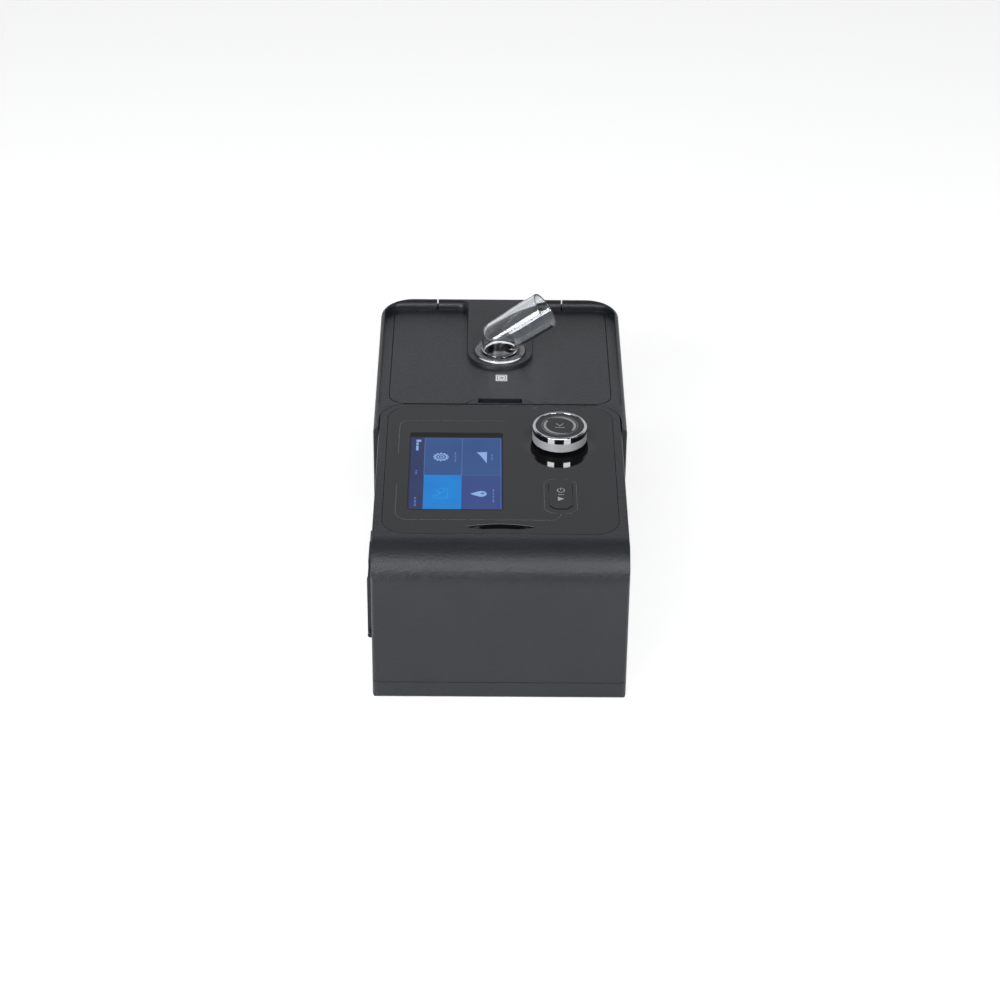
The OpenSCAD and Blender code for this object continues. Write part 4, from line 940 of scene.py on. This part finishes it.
class MACHINE_OT_elbow(bpy.types.Operator):
    """Builds the clear elbow with its collar and its tight bend"""

    bl_idname = "machine.elbow"
    bl_label = "Build the elbow"

    def execute(self, context):
        clear = clear_plastic("clear_tube", rgb("f4f7fa"))
        rise, turn, length, cone = math.radians(36), math.radians(-3), 31.8, 15.0
        taper, rounding, bends = length - cone, 0.3, 9
        tube, bore, mouth, mouth_bore = 10.5, 9.2, 11, 9.7
        foot = [(10.4, 84.5), (tube, 84.6), (tube, 90.1), (14.45, 90.1), (14.75, 90.4), (14.75, 91.2)]
        foot += [(14.35, 91.6), (12.1, 91.6), (11.2, 91.95), (tube, 93.2)]
        arm = [(10.6, 8.5), (mouth, taper), (mouth, length - rounding), (10.75, length), (9.95, length)]
        arm += [(mouth_bore, length - rounding), (mouth_bore, taper), (9.3, 8.5)]
        rings = [self.upright(r, z) for r, z in foot]
        rings += [self.bend(tube, i / bends) for i in range(bends + 1)]
        rings += [self.slanted(r, along, rise) for r, along in arm]
        rings += [self.bend(bore, 1 - i / bends) for i in range(bends + 1)]
        rings += [self.upright(bore, 84.6), self.upright(9.3, 84.5)]
        placed = [[self.placed(p, turn) for p in ring] for ring in rings]
        made = loft("outlet_elbow_clear", placed, clear, "elbow", closed=True, angle=50)
        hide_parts("outlet_elbow")
        return {"FINISHED"}

    def placed(self, point, turn):
        """The point after the elbow's turn about its foot, on the outlet's axis."""
        x, y, z = point
        c, s = math.cos(turn), math.sin(turn)
        return (x * c - y * s, ELBOW_Y + x * s + y * c, z)

    def upright(self, radius, z):
        """A level ring of the foot."""
        return round_ring(0, 0, z, radius)

    def bend(self, radius, share):
        """A ring in the bend: tight at its inside and rounder towards its outside."""
        whole, tightest, widest = 54, 0.6, 6.0
        ring = []
        for x, y, _ in round_ring(0, 0, 0, radius):
            around = tightest + (widest - tightest) * (radius - x) / (2 * radius)
            turn = math.radians(whole * share)
            corner = BEND_Z - math.tan(math.radians(whole / 2)) * (x + around)
            ring.append((x + around * (1 - math.cos(turn)), y, corner + around * math.sin(turn)))
        return ring

    def slanted(self, radius, along, rise):
        """A ring square to the arm's axis."""
        axis = Vector((math.cos(rise), 0, math.sin(rise)))
        side = Vector((math.sin(rise), 0, -math.cos(rise)))
        foot = Vector((0, 0, BEND_Z)) + axis * along
        flat = round_ring(0, 0, 0, radius)
        return [tuple(foot + side * x + Vector((0, y, 0))) for x, y, _ in flat]


class MACHINE_OT_lid_symbol(bpy.types.Operator):
    """Prints the air outlet's symbol on the lid"""

    bl_idname = "machine.lid_symbol"
    bl_label = "Print the lid's symbol"

    def execute(self, context):
        white = ink("lid_print", rgb("e8e8e6"), 0.4)
        dark = ink("lid_print_dark", rgb("3a3b3e"), 0.4)
        cx, cy, w, l = 0.8, 47.0, 3.3, 3.8
        slope = LID_FALL / (LID_FAR - LID_NEAR)
        level = TOP - slope * (cy - LID_NEAR)
        tilt = Matrix.Translation(Vector((cx, cy, level)) * MM) @ Matrix.Rotation(-math.atan(slope), 4, "X")
        field = plates("outlet_field", [bar(-w, w, -l, l)], 0.01, 0.05, white, "lid")
        inner = [
            bar(-2.4, 2.4, 2.6, 2.9), bar(-2.4, 2.4, -2.9, -2.6),
            bar(-2.4, -2.1, -2.9, 2.9), bar(2.1, 2.4, -2.9, 2.9),
            [(-1.3, -0.35), (0.2, -0.35), (0.2, -1.1), (1.4, 0.0), (0.2, 1.1), (0.2, 0.35), (-1.3, 0.35)],
        ]
        mark = plates("outlet_mark", inner, 0.05, 0.08, dark, "lid")
        for made in (field, mark):
            made.data.transform(tilt)
        return {"FINISHED"}


class MACHINE_OT_inner_parts(bpy.types.Operator):
    """Gives the feet, seals, screws, tub and the parts inside their finishes"""

    bl_idname = "machine.inner_parts"
    bl_label = "Finish the inner parts"

    def execute(self, context):
        steel = turned_metal("bright_steel", rgb("c3c5c8"), 0.28)
        blackened = turned_metal("blackened_steel", rgb("3c3d40"), 0.4)
        rubber = silicone("rubber_black", rgb("18181a"), rgb("1f1f21"))
        moulded = eroded_plastic("inner_black", rgb("1c1d1f"), rgb("232426"), 0.5, 0.2)
        finishes = {
            steel: ("case_screws", "board_screws", "encoder_body", "encoder_shaft", "motor_shaft",
                    "card_socket", "tub_plate"),
            blackened: ("hinge_pins", "filter_cover_pin"),
            rubber: ("rubber_feet", "fan_mounts", "docking_seal", "elbow_seat"),
            moulded: ("board_parts", "start_switch", "display_frame", "power_inlet", "filter_frame",
                      "air_duct", "volute", "volute_cover"),
            silicone("seal_grey", rgb("8c9095"), rgb("979ba0")): ("lid_seal",),
            eroded_plastic("inner_grey", rgb("a7a9ab"), rgb("b2b4b6"), 0.45, 0.15): ("lid_liner",),
            eroded_plastic("fan_white", rgb("dcdcd8"), rgb("e6e6e2"), 0.4, 0.1): ("impeller", "push_plunger"),
            turned_metal("motor_can", rgb("8b8d90"), 0.4): ("motor",),
            turned_metal("plate_metal", rgb("cfd0d2"), 0.35, (2400, 60, 60)): ("heater_plate",),
            eroded_plastic("mica_white", rgb("d8d3c6"), rgb("e4dfd2"), 0.8, 0.4): ("heater_insulator",),
            eroded_plastic("board_green", rgb("1c5a3c"), rgb("246646"), 0.35, 0.1): ("control_board",),
            polished_plastic("module_blue", rgb("26407a"), rgb("2c4884"), 0.2): ("display_module",),
            pressed_felt("pad_white", rgb("cfcdc2"), rgb("eceae2")): ("filter_pad",),
            clear_plastic("clear_tub", rgb("eef3f7")): ("water_tub",),
        }
        for material, nodes in finishes.items():
            for node in nodes:
                for slot in frame["nodes"][node].material_slots:
                    slot.material = material
        return {"FINISHED"}


class MACHINE_PT_panel(bpy.types.Panel):
    """Sidebar list of the machine's pieces"""

    bl_label = "Breathing machine"
    bl_idname = "MACHINE_PT_panel"
    bl_space_type = "VIEW_3D"
    bl_region_type = "UI"
    bl_category = "Machine"

    def draw(self, context):
        for name in GROUPS:
            group = getattr(context.scene, "machine_" + name)
            column = self.layout.column()
            for key in type(group).__annotations__:
                column.prop(group, key)
        for operator in PIECES:
            self.layout.operator(operator.bl_idname)


GROUPS = {"casing": CasingValues, "panel": PanelValues, "screen": ScreenValues, "studio": StudioValues}
PIECES = (
    MACHINE_OT_stage,
    MACHINE_OT_casings,
    MACHINE_OT_panel,
    MACHINE_OT_screen,
    MACHINE_OT_start_symbol,
    MACHINE_OT_knob,
    MACHINE_OT_elbow,
    MACHINE_OT_lid_symbol,
    MACHINE_OT_inner_parts,
)


def register():
    for group in GROUPS.values():
        bpy.utils.register_class(group)
    for operator in (*PIECES, MACHINE_PT_panel):
        bpy.utils.register_class(operator)
    for name, group in GROUPS.items():
        setattr(bpy.types.Scene, "machine_" + name, bpy.props.PointerProperty(type=group))


def unregister():
    for name in GROUPS:
        delattr(bpy.types.Scene, "machine_" + name)
    for made in (MACHINE_PT_panel, *reversed(PIECES), *reversed(GROUPS.values())):
        bpy.utils.unregister_class(made)


def main():
    register()
    bpy.context.scene.view_settings.view_transform = "Standard"
    for operator in PIECES:
        family, name = operator.bl_idname.split(".")
        getattr(getattr(bpy.ops, family), name)()


if __name__ == "__main__":
    main()
